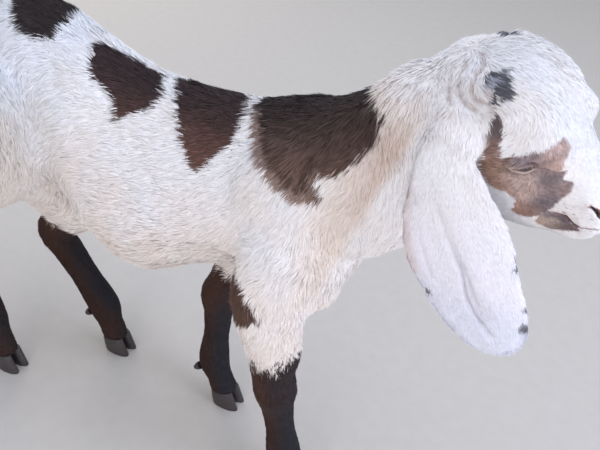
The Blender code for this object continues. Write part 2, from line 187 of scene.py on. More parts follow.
def newMaterial(name):
    made = bpy.data.materials.new(name)
    made.use_nodes = True
    made.node_tree.nodes.clear()
    return made, made.node_tree


def four(text):
    return (*hexColour(text), 1.0)


# The head's own frame: X to the nose, Y to the kid's left, Z up from the jaw, in millimetres from the poll

headPose = {
    "down": 17.5,                     # degrees the nose dips
    "over": 15.5,                     # degrees the crown leans to the right
    "scale": 1.02,
    "eye": (57.0, 26.2, -13.0),       # centre of the left eyeball
}


def boxMiddle(name):
    low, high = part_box(name)
    return (Vector(low) + Vector(high)) / 2


headTurn = Euler((math.radians(headPose["over"]), math.radians(headPose["down"]), 0), "XYZ").to_matrix()
eyeX, eyeY, eyeZ = headPose["eye"]
betweenEyes = (boxMiddle("eye_right") + boxMiddle("eye_left")) / 2
headAxes = np.array(headTurn)
headGrain = headPose["scale"] / 1000
poll = np.array(betweenEyes) - headAxes @ np.array((eyeX, 0, eyeZ)) * headGrain


def toHead(points):
    return (np.asarray(points) - poll) @ headAxes / headGrain


def fromHead(points):
    return poll + (np.asarray(points, float) * headGrain) @ headAxes.T


# Camera, floor and light

view = {
    "place": (0.2501, -0.4133, 0.6210),
    "turn": -21.9,                    # degrees from +Y towards +X
    "down": 35.6,
    "roll": 8.0,
    "focal": 700.0,                   # in pixels of a frame 600 wide
    "frameWidth": 600.0,
}


def addCamera():
    turn, down, roll = (math.radians(view[k]) for k in ("turn", "down", "roll"))
    ahead = Vector((math.sin(turn) * math.cos(down), math.cos(turn) * math.cos(down), -math.sin(down)))
    level = Vector((math.cos(turn), -math.sin(turn), 0))
    above = level.cross(ahead)
    right = math.cos(roll) * level + math.sin(roll) * above
    up = -math.sin(roll) * level + math.cos(roll) * above
    lens = bpy.data.cameras.new("camera")
    lens.sensor_width = 36.0
    lens.lens = lens.sensor_width * view["focal"] / view["frameWidth"]
    lens.clip_start = 0.01
    camera = bpy.data.objects.new("camera", lens)
    axes = Matrix((right, up, -ahead)).transposed().to_4x4()
    camera.matrix_world = Matrix.Translation(view["place"]) @ axes
    bpy.context.scene.collection.objects.link(camera)
    bpy.context.scene.camera = camera


lamps = {
    # place, size, watts, colour
    "softAbove": ((0.35, 0.05, 1.9), 1.6, 8.5, "#dbe5ff"),
    "softRight": ((2.3, -0.25, 1.15), 1.5, 27.0, "#e4eaff"),
    "softLow": ((0.4, -1.9, 0.5), 1.2, 11.5, "#fff3f0"),
    "softBehind": ((-1.5, 1.2, 1.1), 1.2, 9.0, "#fff5ec"),
}


def addLights():
    for name, (place, size, power, colour) in lamps.items():
        lamp = bpy.data.lights.new(name, "AREA")
        lamp.shape = "DISK"
        lamp.size = size
        lamp.energy = power
        lamp.color = hexColour(colour)
        thing = bpy.data.objects.new(name, lamp)
        aim = Vector((0, 0, 0.3)) - Vector(place)
        thing.matrix_world = Matrix.Translation(place) @ aim.to_track_quat("-Z", "Y").to_matrix().to_4x4()
        bpy.context.scene.collection.objects.link(thing)
    world = bpy.data.worlds.new("studio")
    world.use_nodes = True
    world.node_tree.nodes["Background"].inputs["Color"].default_value = four("#eff4ff")
    world.node_tree.nodes["Background"].inputs["Strength"].default_value = 0.64
    bpy.context.scene.world = world
    bpy.context.scene.view_settings.view_transform = "Standard"


def addFloor():
    # Matt painted board, pale and even
    form = bmesh.new()
    bmesh.ops.create_grid(form, x_segments=1, y_segments=1, size=4.0)
    floor = toObject("floor", form)
    made, tree = newMaterial("mattPaintedBoard")
    place = addNode(tree, "ShaderNodeTexCoord").outputs["Object"]
    grain = addNode(tree, "ShaderNodeTexNoise", {"Vector": place, "Scale": 60.0, "Detail": 3.0})
    tone = addNode(tree, "ShaderNodeMix", {
        0: grain.outputs["Fac"], 6: four("#c9c5bf"), 7: four("#d2cec8")}, data_type="RGBA")
    shader = addNode(tree, "ShaderNodeBsdfPrincipled", {"Base Color": tone.outputs[2], "Roughness": 0.9})
    addNode(tree, "ShaderNodeOutputMaterial", {"Surface": shader.outputs["BSDF"]})
    floor.data.materials.append(made)


# Markings and painted light and shade, shared by skin and coat. The barrel is unrolled about a line through
# the chest: x in millimetres and degrees down from the spine, right side positive.

barrel = {"y": 8.0, "z": 320.0, "arc": 1.3}      # middle line and millimetres of skin per degree

barrelPatches = {
    # name: (outline, edge colour at the spine, colour low on the side)
    "withers": (((34, -2), (44, -16), (70, -28), (98, -24), (116, -8), (124, 8), (134, 19), (146, 24),
                 (146, 28), (140, 30), (135, 33), (125, 38), (116, 40), (109, 43), (110, 47), (114, 51),
                 (106, 56), (95, 58), (85, 55), (75, 51), (65, 45), (55, 37), (48, 28), (41, 18),
                 (36, 10)), "#342b2c", "#7e655a"),
    "back": (((-43, -2), (-31, 10), (-25, 20), (-18, 30), (-11, 40), (-3, 50), (5, 58), (12, 66), (17, 56),
              (23, 48), (31, 36), (35, 28), (33, 19), (30, 9), (25, -2), (12, -14), (-8, -20), (-30, -14)),
              "#403334", "#6f5148"),
    "loin": (((-111, 5), (-107, 12), (-105, 18), (-100, 24), (-92, 27), (-81, 30), (-74, 36), (-68, 48),
              (-64, 47), (-59, 40), (-54, 35), (-42, 29), (-39, 19), (-44, 9), (-49, 1), (-64, -2),
              (-82, -1), (-100, 1)), "#3b2f31", "#664b44"),
    "rump": (((-204, -8), (-196, -22), (-170, -24), (-150, -14), (-140, -4), (-137, 5), (-138, 12),
              (-139, 17), (-147, 20), (-157, 22), (-173, 19), (-180, 14), (-187, 9), (-198, 2)),
              "#332c2d", "#433837"),
    "leftFlank": (((-74, -52), (-60, -43), (-44, -49), (-28, -42), (-16, -54), (-2, -61), (-9, -76),
                   (-22, -84), (-34, -79), (-48, -94), (-62, -83), (-84, -80), (-78, -66)),
                   "#453735", "#6a4f45"),
    "leftShoulder": (((72, -66), (86, -54), (98, -61), (112, -55), (118, -70), (107, -78), (112, -91),
                      (96, -92), (88, -83), (75, -80)), "#453735", "#6a4f45"),
    "leftThigh": (((-178, -58), (-164, -49), (-150, -55), (-136, -45), (-125, -60), (-134, -70),
                   (-127, -85), (-146, -89), (-160, -79), (-183, -81), (-175, -68)), "#453735", "#604840"),
}
elbowPatch = ((44, 282), (60, 281), (72, 277), (77, 269), (82, 263), (91, 259), (84, 250), (72, 238),
              (60, 236), (46, 240))

# Outlines on the face, in the head's frame: forward and up
faceRight = ((32, 9), (36, 10), (39, 6), (42, -1), (45, -10), (48, -15), (51, -12), (54, -8), (58, -3),
             (60, 2), (63, 3), (64, 5), (66, 8), (69, 10), (71, 10), (74, 8), (76, 4), (80, -8), (84, -13),
             (89, -15), (92, -20), (92, -25), (91, -32), (90, -36), (88, -45), (83, -53), (77, -53),
             (72, -49), (71, -42), (70, -38), (62, -37), (53, -37), (46, -32), (41, -25), (37, -13),
             (34, -3))
faceLeft = ((30, 8), (38, 8), (46, -6), (56, 0), (68, 5), (78, -3), (87, -18), (85, -34), (74, -43),
            (60, -39), (46, -28), (36, -12))
lipRight = ((88, -48), (89, -39), (92, -36), (97, -37), (101, -38), (106, -41), (112, -44), (108, -49),
            (103, -53), (96, -55), (90, -54))
# The two whorls: forward and left
budRight = ((17, -25.5), (17.3, -22.5), (19, -19.5), (21, -16.5), (24, -13.6), (25.4, -14.8), (23.6, -18.4),
            (26, -20), (29, -19.8), (28.5, -22.5), (32, -22.4), (30.4, -25.2), (33, -27), (31, -28.6),
            (31, -31), (29, -31.8), (27, -32), (25, -30.5), (21.5, -28.8), (19, -27.5))
budLeft = ((7, 20), (11, 25), (16, 24), (17, 19), (11, 17))
faceTonesAndShade = (
    # forward, up and the colour of the short hair there; the bluish greys in front of and below the eye are
    # painted shade
    (36, 4, "#5d4f4f"), (42, -12, "#8a6d62"), (46, -24, "#a98873"), (56, -33, "#b08a78"),
    (76, -50, "#bb9181"), (62, -2, "#93858a"), (70, 6, "#c4aca5"), (75, -3, "#d8b8ae"),
    (80, -14, "#716870"), (88, -19, "#a8918d"), (86, -32, "#766b72"), (70, -30, "#c6aca2"),
    (62, -22, "#bba59d"), (84, -46, "#93796f"))
lipTones = (
    (89, -40, "#a09497"), (95, -37, "#7a7176"), (101, -39, "#6e6469"), (90, -49, "#c7b2a4"),
    (98, -45, "#bcaba1"), (100, -51, "#a08e88"), (106, -42, "#86797a"), (108, -45, "#736362"),
    (103, -48, "#7a6968"))
whiskerPores = ((94.5, 22, -29), (97, 21, -31), (100.2, 20, -28.6), (105.4, 18, -29.4), (98, 21, -34.5),
                (103, 19, -33.5), (108, 17, -34), (112, 15, -37), (107, 17, -38), (113, 14.5, -33.5))
legTops = {
    # height in millimetres where the dark leg begins, and how much it rises per millimetre forward
    "foreleg_right": (204.0, 0.7, 98.0), "foreleg_left": (200.0, 0.3, 10.0),
    "hindleg_right": (176.0, -0.2, -250.0), "hindleg_left": (166.0, -0.1, -190.0)}
# Forward, up and size in millimetres, on the right ear
earSpecks = ((203, 342, 2.2), (247, 383, 2.2), (248, 378, 2.2), (263.5, 342, 2.8), (260, 354, 1.3))
# Painted warm shade behind the right ear and on its rear rim, and how much painted shade darkens the rump,
# low and high
neckShade = ((166, -47, 418), (163, -46, 400), (163, -44, 380), (164, -42, 362))
earRimShade = ((172, -60, 400), (174, -62, 384), (181, -64, 368), (188, -66, 354))
rumpShade = {"low": (0.87, 0.86, 0.84), "high": (0.90, 0.93, 0.96)}


def blendTones(side, tones, reach):
    # Colours spread round named places on the side of the head
    weight = np.zeros(len(side))
    colour = np.zeros((len(side), 3))
    for x, z, text in tones:
        near = np.exp(-((side[:, 0] - x) ** 2 + (side[:, 1] - z) ** 2) / reach) + 1e-9
        weight += near
        colour += near[:, None] * hexColour(text)
    return colour / weight[:, None]


def patchShare(points, flat, outline, edge=0.9, ragged=0.9, seed=5):
    # 1 inside an outline and 0 outside, with an edge broken hair by hair
    low = np.min(outline, axis=0) - 12
    high = np.max(outline, axis=0) + 12
    near = np.all((flat > low) & (flat < high), axis=1)
    share = np.zeros(len(points))
    if near.any():
        jag = waves(points[near], 0.0065, seed) * ragged
        jag = jag + waves(points[near], 0.021, seed + 1) * ragged * 0.6
        share[near] = ramp(insideBy(flat[near], outline) + jag, -edge, edge)
    return share


def layMark(paint, tone, share, strength=1.0):
    # A dark mark over the paint so far, and how dark each place has become
    paint["colour"] = mix(paint["colour"], tone, share * strength)
    paint["dark"] = np.maximum(paint["dark"], share)


def wash(paint, text, share, where=slice(None)):
    # A thin wash of one colour
    paint["colour"][where] = mix(paint["colour"][where], hexColour(text), share)


def paintGround(paint, points, mm, isEar, onHead):
    # White hair with painted light and shade: cream low down as painted warm bounce from below, cream on the
    # neck partly the same painted bounce and partly the skin showing through, cool on the ears as painted
    # sky light, beige behind them as painted shade, greyer on the rump as painted shade
    offHead = (1 - onHead) * (1 - isEar)
    neckShare = ramp(mm[:, 0], 95, 130) * ramp(470 - mm[:, 2], 0, 40) * offHead
    # Painted warm bounce light low down and on the neck
    warm = ramp(320 - mm[:, 2], -50, 100) * 0.6 + 0.62 * neckShare + 0.14 * waves(points, 0.045, 21) + 0.10
    paint["colour"] = mix(hexColour("#fbfbfd"), hexColour("#f7ebe1"), np.clip(warm, 0, 1))
    # Painted cool sky light on the ears, bluer low on them as painted shade
    wash(paint, "#f7f6ff", isEar * 0.85 * ramp(435 - mm[:, 2], 0, 70))
    wash(paint, "#ebeefa", isEar * 0.9 * ramp(365 - mm[:, 2], 0, 30))
    # Painted warm shade on the neck under the right ear, darkest along the ear's edge, and on the ear's
    # turned rear rim
    far, _ = lineDistance(np.where((False, True, False), -np.abs(mm), mm), neckShade)
    wash(paint, "#dfcbbe", np.exp(-(far / 25) ** 2) * 0.9 * ramp(446 - mm[:, 2], 0, 26) * offHead)
    far, _ = lineDistance(mm, earRimShade)
    wash(paint, "#e2cfca", np.exp(-(far / 6) ** 2) * 0.6 * isEar)
    # Painted shade: the rump darker, warmer low down and bluer higher up
    rear = ramp(-95 - mm[:, 0], 0, 35)[:, None]
    grey = mix(np.array(rumpShade["low"]), np.array(rumpShade["high"]), ramp(mm[:, 2], 325, 360))
    paint["colour"] *= 1 - rear * (1 - grey)


def paintBody(paint, points, mm, offBody):
    degrees = np.degrees(np.arctan2(barrel["y"] - mm[:, 1], mm[:, 2] - barrel["z"]))
    flat = np.stack([mm[:, 0], degrees * barrel["arc"]], axis=1)
    for i, (name, (outline, top, low)) in enumerate(barrelPatches.items()):
        shape = [(x, d * barrel["arc"]) for x, d in outline]
        share = patchShare(points, flat, shape, seed=40 + 3 * i) * (1 - offBody)
        tone = mix(hexColour(top), hexColour(low), ramp(np.abs(degrees), 8, 58))
        if name == "withers":
            # A paler fringe below and behind, parted from the rest by a dark seam of painted shade
            inside = share > 0
            depth = np.zeros(len(points))
            depth[inside] = insideBy(flat[inside], shape)
            below = ramp(degrees, 6, 18) * ramp(112 - flat[:, 0], 0, 12)
            tone = mix(tone, hexColour("#a08b82"), ramp(8.5 - depth, 0, 2.5) * below * 0.8)
            tone = tone * (1 - 0.60 * np.exp(-((depth - 9.3) / 1.7) ** 2) * below)[:, None]
        layMark(paint, tone, share)
    share = patchShare(points, mm[:, (0, 2)], elbowPatch, seed=71) * (mm[:, 1] < -32)
    layMark(paint, hexColour("#5f483f"), share)


def paintLegs(paint, points, mm, legIndex):
    # Brown-black lower legs, with a painted bluish sheen in front, and browner behind
    for i, (name, (top, rise, middle)) in enumerate(legTops.items()):
        ahead = mm[:, 0] - middle
        edge = top + rise * ahead
        edge = edge - 9 * np.exp(-((ahead - 4) / 5.0) ** 2) + 12 * ramp(ahead, 13, 22)
        jag = waves(points * (1, 1, 0.25), 0.0085, 90 + i) * 6.5
        share = ramp(edge - mm[:, 2] + jag, -3, 3) * (legIndex == flesh.index(name))
        path = np.array(lieLegs[name], float)
        axis = np.interp(mm[:, 2], path[::-1, 2], path[::-1, 0]) + (8 if "hind" in name else -4)
        # Painted sheen: the front of each leg bluer
        front = ramp(mm[:, 0] - axis + 2 * waves(points, 0.03, 97 + i), -2, 15)
        tone = mix(hexColour("#3a2822"), hexColour("#29282e"), front)
        tone = mix(tone, hexColour("#4f372e"), ramp(mm[:, 2], 105, 170) * 0.6 * (1 - 0.6 * front))
        layMark(paint, tone, share)


def paintFace(paint, points, headPoint, folded, onHead):
    side = headPoint[:, (0, 2)]
    right = (headPoint[:, 1] < -8) * onHead
    left = (headPoint[:, 1] > 8) * onHead
    share = patchShare(points, side, faceRight, 0.5, 0.7, 111) * right
    share = np.maximum(share, patchShare(points, side, faceLeft, 0.5, 0.7, 114) * left)
    share = share * np.maximum(ramp(np.abs(headPoint[:, 1]), 20.5, 23), ramp(2 - headPoint[:, 2], 0, 3))
    # The patch's tones include painted shade in front of and below the eye
    layMark(paint, blendTones(side, faceTonesAndShade, 60.0), share, 0.96)
    share = patchShare(points, side, lipRight, 0.5, 0.6, 117) * onHead * (np.abs(headPoint[:, 1]) > 6)
    share *= np.where(headPoint[:, 1] < 0, 1.0, 0.55)
    layMark(paint, blendTones(side, lipTones, 16.0), share)
    for pore in whiskerPores:
        wash(paint, "#6b6268", ramp(0.75 - np.linalg.norm(folded - pore, axis=1), 0, 0.35) * onHead * 0.7)
    # Whorls where horn buds would be, grey behind
    above = onHead * (headPoint[:, 2] > 10)
    behind = np.hypot(headPoint[:, 0] - 21.5, headPoint[:, 1] + 26)
    grey = ramp(4.5 + 1.5 * waves(points, 0.004, 123) - behind, 0, 3.0)
    for outline in (budRight, budLeft):
        share = patchShare(points, headPoint[:, :2], outline, 0.7, 1.3, 121) * above
        layMark(paint, mix(hexColour("#54555f"), hexColour("#a9acb9"), grey), share, 0.95)


def paintFoldShade(paint, points, headPoint, folded, onHead):
    # Painted shade in the creases of the lids, in the short hair below and above the eye
    for side in (-1, 1):
        near = np.linalg.norm(headPoint - (eyeX, side * eyeY, eyeZ), axis=1) < 19
        _, _, _, a, b = eyeAngles(points[near], side)
        upper, lower = lidEdges(a)
        beyond = np.maximum(b - upper, lower - b)
        crease = np.exp(-((beyond - 0.25) / 0.045) ** 2) * 0.55
        crease += np.exp(-((beyond - 0.44) / 0.05) ** 2) * 0.45 * (b < 0)
        wash(paint, "#4f403f", crease * ramp(1.0 - np.abs(a + 0.12), 0, 0.35), near)
    # Painted shade, warm and a little pink, in the folds of the loose skin round the ear's root
    near = (headPoint[:, 0] > -16) & (headPoint[:, 0] < 42) & (headPoint[:, 2] < 24)
    for line in rootFolds:
        far, _ = lineDistance(folded[near], line)
        share = np.exp(-(far / 1.7) ** 2) * 0.5 * (1 - paint["dark"][near]) * onHead[near]
        wash(paint, "#c6aea6", share, near)


def markingsAndShade(points, isEar, legIndex):
    # Colour of the hair at each place, painted light and shade included, and how dark it is marked there
    mm = points * 1000
    headPoint = toHead(points)
    folded = np.where((False, True, False), np.abs(headPoint), headPoint)
    onHead = ramp(headPoint[:, 0], -4, 6) * (1 - isEar)
    paint = {"colour": None, "dark": np.zeros(len(points))}
    paintGround(paint, points, mm, isEar, onHead)
    paintBody(paint, points, mm, np.clip(onHead + isEar, 0, 1))
    paintLegs(paint, points, mm, legIndex)
    paintFace(paint, points, headPoint, folded, onHead)
    paintFoldShade(paint, points, headPoint, folded, onHead)
    for x, z, size in earSpecks:
        far = np.hypot(mm[:, 0] - x, mm[:, 2] - z)
        share = ramp(size + 0.5 * waves(points, 0.004, 131) - far, -0.8, 0.8) * isEar * (mm[:, 1] < 0)
        wash(paint, "#4e4a52", share * 0.85)
    return np.clip(paint["colour"], 0, 1), paint["dark"]


# Skin: the flesh solids melted into one, thinned, refined on the face and sunk by the depth of the coat

flesh = ["trunk", "neck", "head", "tail", "ear_left", "ear_right",
         "foreleg_left", "foreleg_right", "hindleg_left", "hindleg_right"]
skinMake = {
    "swell": 0.0003,      # closes the thin cuts between the solids
    "voxel": 0.0018,
    "melt": 7,            # smoothing rounds after the melt
    "triangles": 118000,
    "eyeZone": 0.0185,    # reach of the fine mesh round each eye
    "lipZone": 0.0062,
    "foldZone": 0.0042,   # the same round the creases of ears and roots
    "foldEdge": 0.0016,   # longest edge left there
    "foldRounds": 6,
    "socket": 0.0006,     # room round each eyeball
}
mouthLine = ((90.4, 24.0, -38.2), (98.4, 21.4, -36.4), (104.2, 19.7, -39.6), (110.5, 17.0, -42.0),
             (117.0, 12.5, -40.5), (122.0, 6.0, -41.5), (124.5, 0.0, -42.5))
nostrilLine = ((105.6, 16.0, -25.3), (110.6, 13.8, -26.8), (114.9, 11.5, -29.5), (118.6, 8.8, -33.0))
philtrum = ((122.6, 0.0, -36.5), (124.0, 0.0, -39.5), (124.6, 0.0, -42.0))


def mirrored(line, side):
    return [(x, side * y, z) for x, y, z in line]


def nostrilWidth(along):
    # Half width of the slit: a comma, thin behind and widest near its front end
    return 0.0004 + 0.0012 * ramp(along, 0.1, 0.75) * ramp(1.12 - along, 0, 0.25)


def fleshForm():
    joined = bmesh.new()
    for name in flesh:
        form = bmesh.new()
        form.from_mesh(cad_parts[name].data)
        bmesh.ops.remove_doubles(form, verts=form.verts, dist=1e-6)
        form.normal_update()
        for vert in form.verts:
            vert.co += vert.normal * skinMake["swell"]
        mesh = bpy.data.meshes.new("fleshPart")
        form.to_mesh(mesh)
        form.free()
        joined.from_mesh(mesh)
        bpy.data.meshes.remove(mesh)
    for name in ("eye_right", "eye_left"):
        low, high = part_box(name)
        radius = (Vector(high) - Vector(low)).x / 2 + skinMake["socket"]
        bmesh.ops.create_uvsphere(joined, u_segments=32, v_segments=16, radius=radius,
                                  matrix=Matrix.Translation(boxMiddle(name)))
    return joined


def biggestIsland(form):
    # Drops the shells left inside the melt
    form.verts.index_update()
    seen = np.zeros(len(form.verts), bool)
    best = []
    for start in form.verts:
        if seen[start.index]:
            continue
        seen[start.index] = True
        group = [start]
        for vert in group:
            for edge in vert.link_edges:
                other = edge.other_vert(vert)
                if not seen[other.index]:
                    seen[other.index] = True
                    group.append(other)
        if len(group) > len(best):
            best = group
    kept = set(best)
    bmesh.ops.delete(form, geom=[v for v in form.verts if v not in kept], context="VERTS")


def splitEdges(form, edges):
    bmesh.ops.subdivide_edges(form, edges=edges, cuts=1, smooth=0.0)
    bmesh.ops.triangulate(form, faces=[f for f in form.faces if len(f.verts) > 3])


def refine(form, near):
    # Splits the edges whose both ends lie in the zone
    form.verts.index_update()
    places = np.array([v.co for v in form.verts])
    inZone = near(places)
    splitEdges(form, [e for e in form.edges if inZone[e.verts[0].index] and inZone[e.verts[1].index]])


def faceZone(reachEye, reachLip):
    def near(places):
        inZone = np.zeros(len(places), bool)
        for side in (-1, 1):
            eye = fromHead((eyeX, side * eyeY, eyeZ))
            inZone |= np.linalg.norm(places - eye, axis=1) < reachEye
            for line in (mouthLine, nostrilLine):
                far, _ = lineDistance(places, hugged(line, side, 0))
                inZone |= far < reachLip
        return inZone
    return near


def onLeaf(line):
    # A line of the ear's face, from millimetres to metres
    return np.array([(x, 0, z) for x, z in line]) / 1000


def foldDistance(places, ears):
    # Distance to the long creases of the ears and to the folds round their roots
    best = np.full(len(places), 1.0)
    for side, rows in ears.items():
        z = places[:, 2]
        mine = (np.abs(places[:, 1] - np.interp(z, rows[:, 0], rows[:, 3])) < 0.012) & (z < rows[-1, 0])
        _, flat = earPlace(places[mine], side, ears)
        for line, _ in earCreases:
            far, _ = lineDistance(flat, onLeaf(line))
            best[mine] = np.minimum(best[mine], far)
        for line in rootFolds:
            far, _ = lineDistance(places, hugged(line, side, 0))
            best = np.minimum(best, far)
    return best


def refineFolds(form, ears):
    # The thinning leaves long edges on flat skin: here they are split until they can carry a fold
    for _ in range(skinMake["foldRounds"]):
        edges = list(form.edges)
        ends = np.array([(e.verts[0].co, e.verts[1].co) for e in edges])
        size = np.linalg.norm(ends[:, 0] - ends[:, 1], axis=1)
        split = size > skinMake["foldEdge"]
        far = foldDistance(ends[split].mean(axis=1), ears)
        split[split] = far < skinMake["foldZone"] + 0.5 * size[split]
        if not split.any():
            break
        splitEdges(form, [edges[i] for i in np.flatnonzero(split)])


def skinBase(ears):
    skin = toObject("skin", fleshForm())
    melt = skin.modifiers.new("melt", "REMESH")
    melt.mode = "VOXEL"
    melt.voxel_size = skinMake["voxel"]
    soften = skin.modifiers.new("soften", "SMOOTH")
    soften.factor = 0.5
    soften.iterations = skinMake["melt"]
    mesh = applied(skin)
    mesh.calc_loop_triangles()
    thin = skin.modifiers.new("thin", "DECIMATE")
    thin.ratio = skinMake["triangles"] / len(mesh.loop_triangles)
    thin.use_collapse_triangulate = True
    mesh = applied(skin)
    form = bmesh.new()
    form.from_mesh(mesh)
    biggestIsland(form)
    refine(form, faceZone(skinMake["eyeZone"], skinMake["lipZone"]))
    refine(form, faceZone(skinMake["eyeZone"] * 0.86, skinMake["lipZone"] * 0.7))
    refineFolds(form, ears)
    form.to_mesh(mesh)
    form.free()
    return skin


def fleshSurface():
    # All the flesh solids as one tree, with the solid that each face belongs to
    verts = []
    faces = []
    owners = []
    for i, name in enumerate(flesh):
        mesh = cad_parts[name].data
        start = len(verts)
        verts.extend(v.co.copy() for v in mesh.vertices)
        faces.extend([start + k for k in p.vertices] for p in mesh.polygons)
        owners.extend([i] * len(mesh.polygons))
    return BVHTree.FromPolygons(verts, faces), owners


def nearestNode(places):
    # The flesh solid that each place belongs to
    tree, owners = fleshTree
    return np.array([owners[tree.find_nearest(p)[2]] for p in places])


def hugged(line, side, depth):
    # A line of the head's left half laid on the skin of either half, in short steps
    line = fromHead(mirrored(line, side))
    steps = np.linspace(0, len(line) - 1, 3 * len(line) - 2)
    line = np.stack([np.interp(steps, np.arange(len(line)), line[:, k]) for k in range(3)], axis=1)
    laid = []
    for point in line:
        at, normal, _, _ = fleshTree[0].find_nearest(Vector(point))
        laid.append(np.array(at - normal * depth))
    return np.array(laid)


def earShape(name):
    # Middle line and half width of an ear, read from its solid in level slices
    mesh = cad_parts[name].data
    places, corners = meshArrays(mesh)
    middle = places[corners].mean(axis=1)
    heights = np.linspace(places[:, 2].min() + 0.004, places[:, 2].max() - 0.010, 14)
    rows = []
    for z in heights:
        near = middle[np.abs(middle[:, 2] - z) < 0.011]
        low, high = near[:, 0].min(), near[:, 0].max()
        rows.append((z, (low + high) / 2, (high - low) / 2, near[:, 1].mean()))
    return np.array(rows)


earCreases = (
    # middle of each long crease on the right ear, forward and up in millimetres, and its depth in metres
    (((193, 404), (206, 385), (219, 367), (225, 354), (233, 344), (248, 332)), 0.0021),
    (((206, 392), (213, 379), (221, 369), (229, 357), (235, 349)), 0.0012),
    (((187, 384), (194, 370), (201, 359)), 0.0010),
)


def earPlace(places, side, ears):
    # Share across the leaf, and the matching place on the right ear's face
    rows = ears[side]
    first = ears[-1]
    z = places[:, 2]
    half = np.maximum(np.interp(z, rows[:, 0], rows[:, 2]), 0.004)
    across = (places[:, 0] - np.interp(z, rows[:, 0], rows[:, 1])) / half
    up = z - rows[-1, 0] + first[-1, 0]
    ahead = np.interp(up, first[:, 0], first[:, 1]) + across * np.interp(up, first[:, 0], first[:, 2])
    return across, np.stack([ahead, np.zeros(len(z)), up], axis=1)


def creaseDepth(flat, width):
    total = np.zeros(len(flat))
    for line, depth in earCreases:
        far, along = lineDistance(flat, onLeaf(line))
        total += depth * np.exp(-(far / width) ** 2) * (0.35 + 0.65 * ramp(along, 0.05, 0.5))
    return total


fleshTree = fleshSurface()

# Lids, lips, nostrils and folds

lidShape = {
    "halfAngle": 0.74,        # from the middle of the slit to a corner, seen from the eyeball's centre
    "upper": 0.165,           # radians the upper lid clears the slit's line where it is widest
    "lower": 0.125,
    "thick": 0.0009,          # lid over the eyeball
    "out": (0.577, 0.81, 0.10),       # where the slit's middle faces, left eye, head frame
    "along": (0.741, -0.572, 0.351),  # from the rear corner to the front one
}


def eyeAxes(side):
    out = unit(np.array(lidShape["out"]) * (1, side, 1))
    along = np.array(lidShape["along"]) * (1, side, 1)
    along = unit(along - out * (along @ out))
    up = np.cross(out, along) * -side
    return headAxes @ out, headAxes @ along, headAxes @ up


def eyeAngles(places, side):
    # Distance from the eyeball's centre and the angles along and above the slit
    out, along, up = eyeAxes(side)
    centre = fromHead((eyeX, side * eyeY, eyeZ))
    away = places - centre
    far = np.linalg.norm(away, axis=1)
    ray = away / far[:, None]
    return centre, far, ray, np.arctan2(ray @ along, ray @ out), np.arcsin(np.clip(ray @ up, -1, 1))


def lidEdges(a):
    u = np.clip(a / lidShape["halfAngle"], -1, 1)
    agape = np.exp(-np.abs((u - 0.15) / 0.50) ** 3)       # the lids all but meet towards both corners
    upper = lidShape["upper"] * (1 - u * u) * (0.12 + 0.88 * agape)
    lower = -lidShape["lower"] * (1 - u * u) * (0.35 + 0.65 * agape)
    bend = 0.05 * (1 - u * u) - 0.02       # the slit sags a little at both corners
    return upper + bend, lower + bend


def beyondLids(a, b, slope):
    # How far a place lies beyond the slit, up, down or past its corners
    upper, lower = lidEdges(a)
    return np.maximum(np.maximum(b - upper, lower - b), (np.abs(a) - lidShape["halfAngle"]) * slope)


def sculptEye(places, side, eyeRadius):
    centre, far, ray, a, b = eyeAngles(places, side)
    near = far < 0.0225
    near &= np.abs(a) < 1.5
    upper, lower = lidEdges(a)
    gap = np.minimum(upper - b, b - lower)                 # positive inside the opening
    beside = np.abs(a) - lidShape["halfAngle"]
    gap = np.where(beside < 0, gap, -np.hypot(b, beside))
    outside = np.where(beside < 0, -gap, np.hypot(b, beside * 2.4))
    # The lid hugs the eyeball near its edge and runs into the face further out
    lid = eyeRadius + lidShape["thick"]
    lid = lid + 0.0005 * np.exp(-((outside - 0.12) / 0.06) ** 2) * (b < 0)      # full lower rim
    lid = lid + 0.0004 * np.exp(-((outside - 0.09) / 0.06) ** 2) * (b > 0)
    for middle, width, depth, below in ((0.26, 0.045, 0.0010, True), (0.46, 0.05, 0.0009, True),
                                        (0.70, 0.06, 0.0006, True), (0.30, 0.05, 0.0010, False)):
        crease = np.exp(-((outside - middle) / width) ** 2) * ((b < 0) if below else (b > 0))
        lid = lid - depth * crease * ramp(0.95 - np.abs(a), 0, 0.35)
        far = far - 0.35 * depth * crease * near
    share = ramp(outside, 0.35, 0.85)
    wanted = lid * (1 - share) + np.maximum(far, lid - 0.0006) * share
    wanted = np.where(gap > 0, eyeRadius + lidShape["thick"] - ramp(gap, 0.0, 0.035) * 0.0032, wanted)
    moved = places.copy()
    moved[near] = centre + ray[near] * wanted[near, None]
    return moved


def groove(places, normals, line, width, depth, rim=0.0):
    far, along = lineDistance(places, line)
    fade = ramp(along, -0.001, 0.12) * 0.6 + 0.4
    sink = depth * np.exp(-(far / width) ** 2) * fade
    rise = rim * np.exp(-((far - 2.1 * width) / width) ** 2)
    return places + normals * (rise - sink)[:, None]


rootFolds = (
    # arcs of loose skin in front of and over the ear's root, left half of the head's frame
    ((20, 26, 17), (22.6, 28.9, 14.7), (25, 30.3, 13), (27, 32.4, 11.7), (29.4, 33.5, 9.6),
     (32.7, 34.3, 6.6)),
    ((7.5, 8.5, 16), (11.5, 15, 16.5), (12, 21, 14.5), (13, 25.6, 10.8), (15, 28.8, 8), (19, 31.3, 7.5),
     (23, 32, 9.5)),
    ((3.4, 13.4, 11), (4.4, 19.4, 8.5), (6.7, 24.2, 4.5), (10.7, 28.5, 2.2), (15.7, 32, 1.8),
     (20.5, 33, 3.3)),
    ((-2, 16, 6), (1.1, 21.6, 2.7), (2.5, 24.8, 0), (6, 29.5, -2.6), (10, 36.4, -2), (14, 38.8, -2.3),
     (18.5, 39.6, -2.8), (24, 40, -3.8)),
)


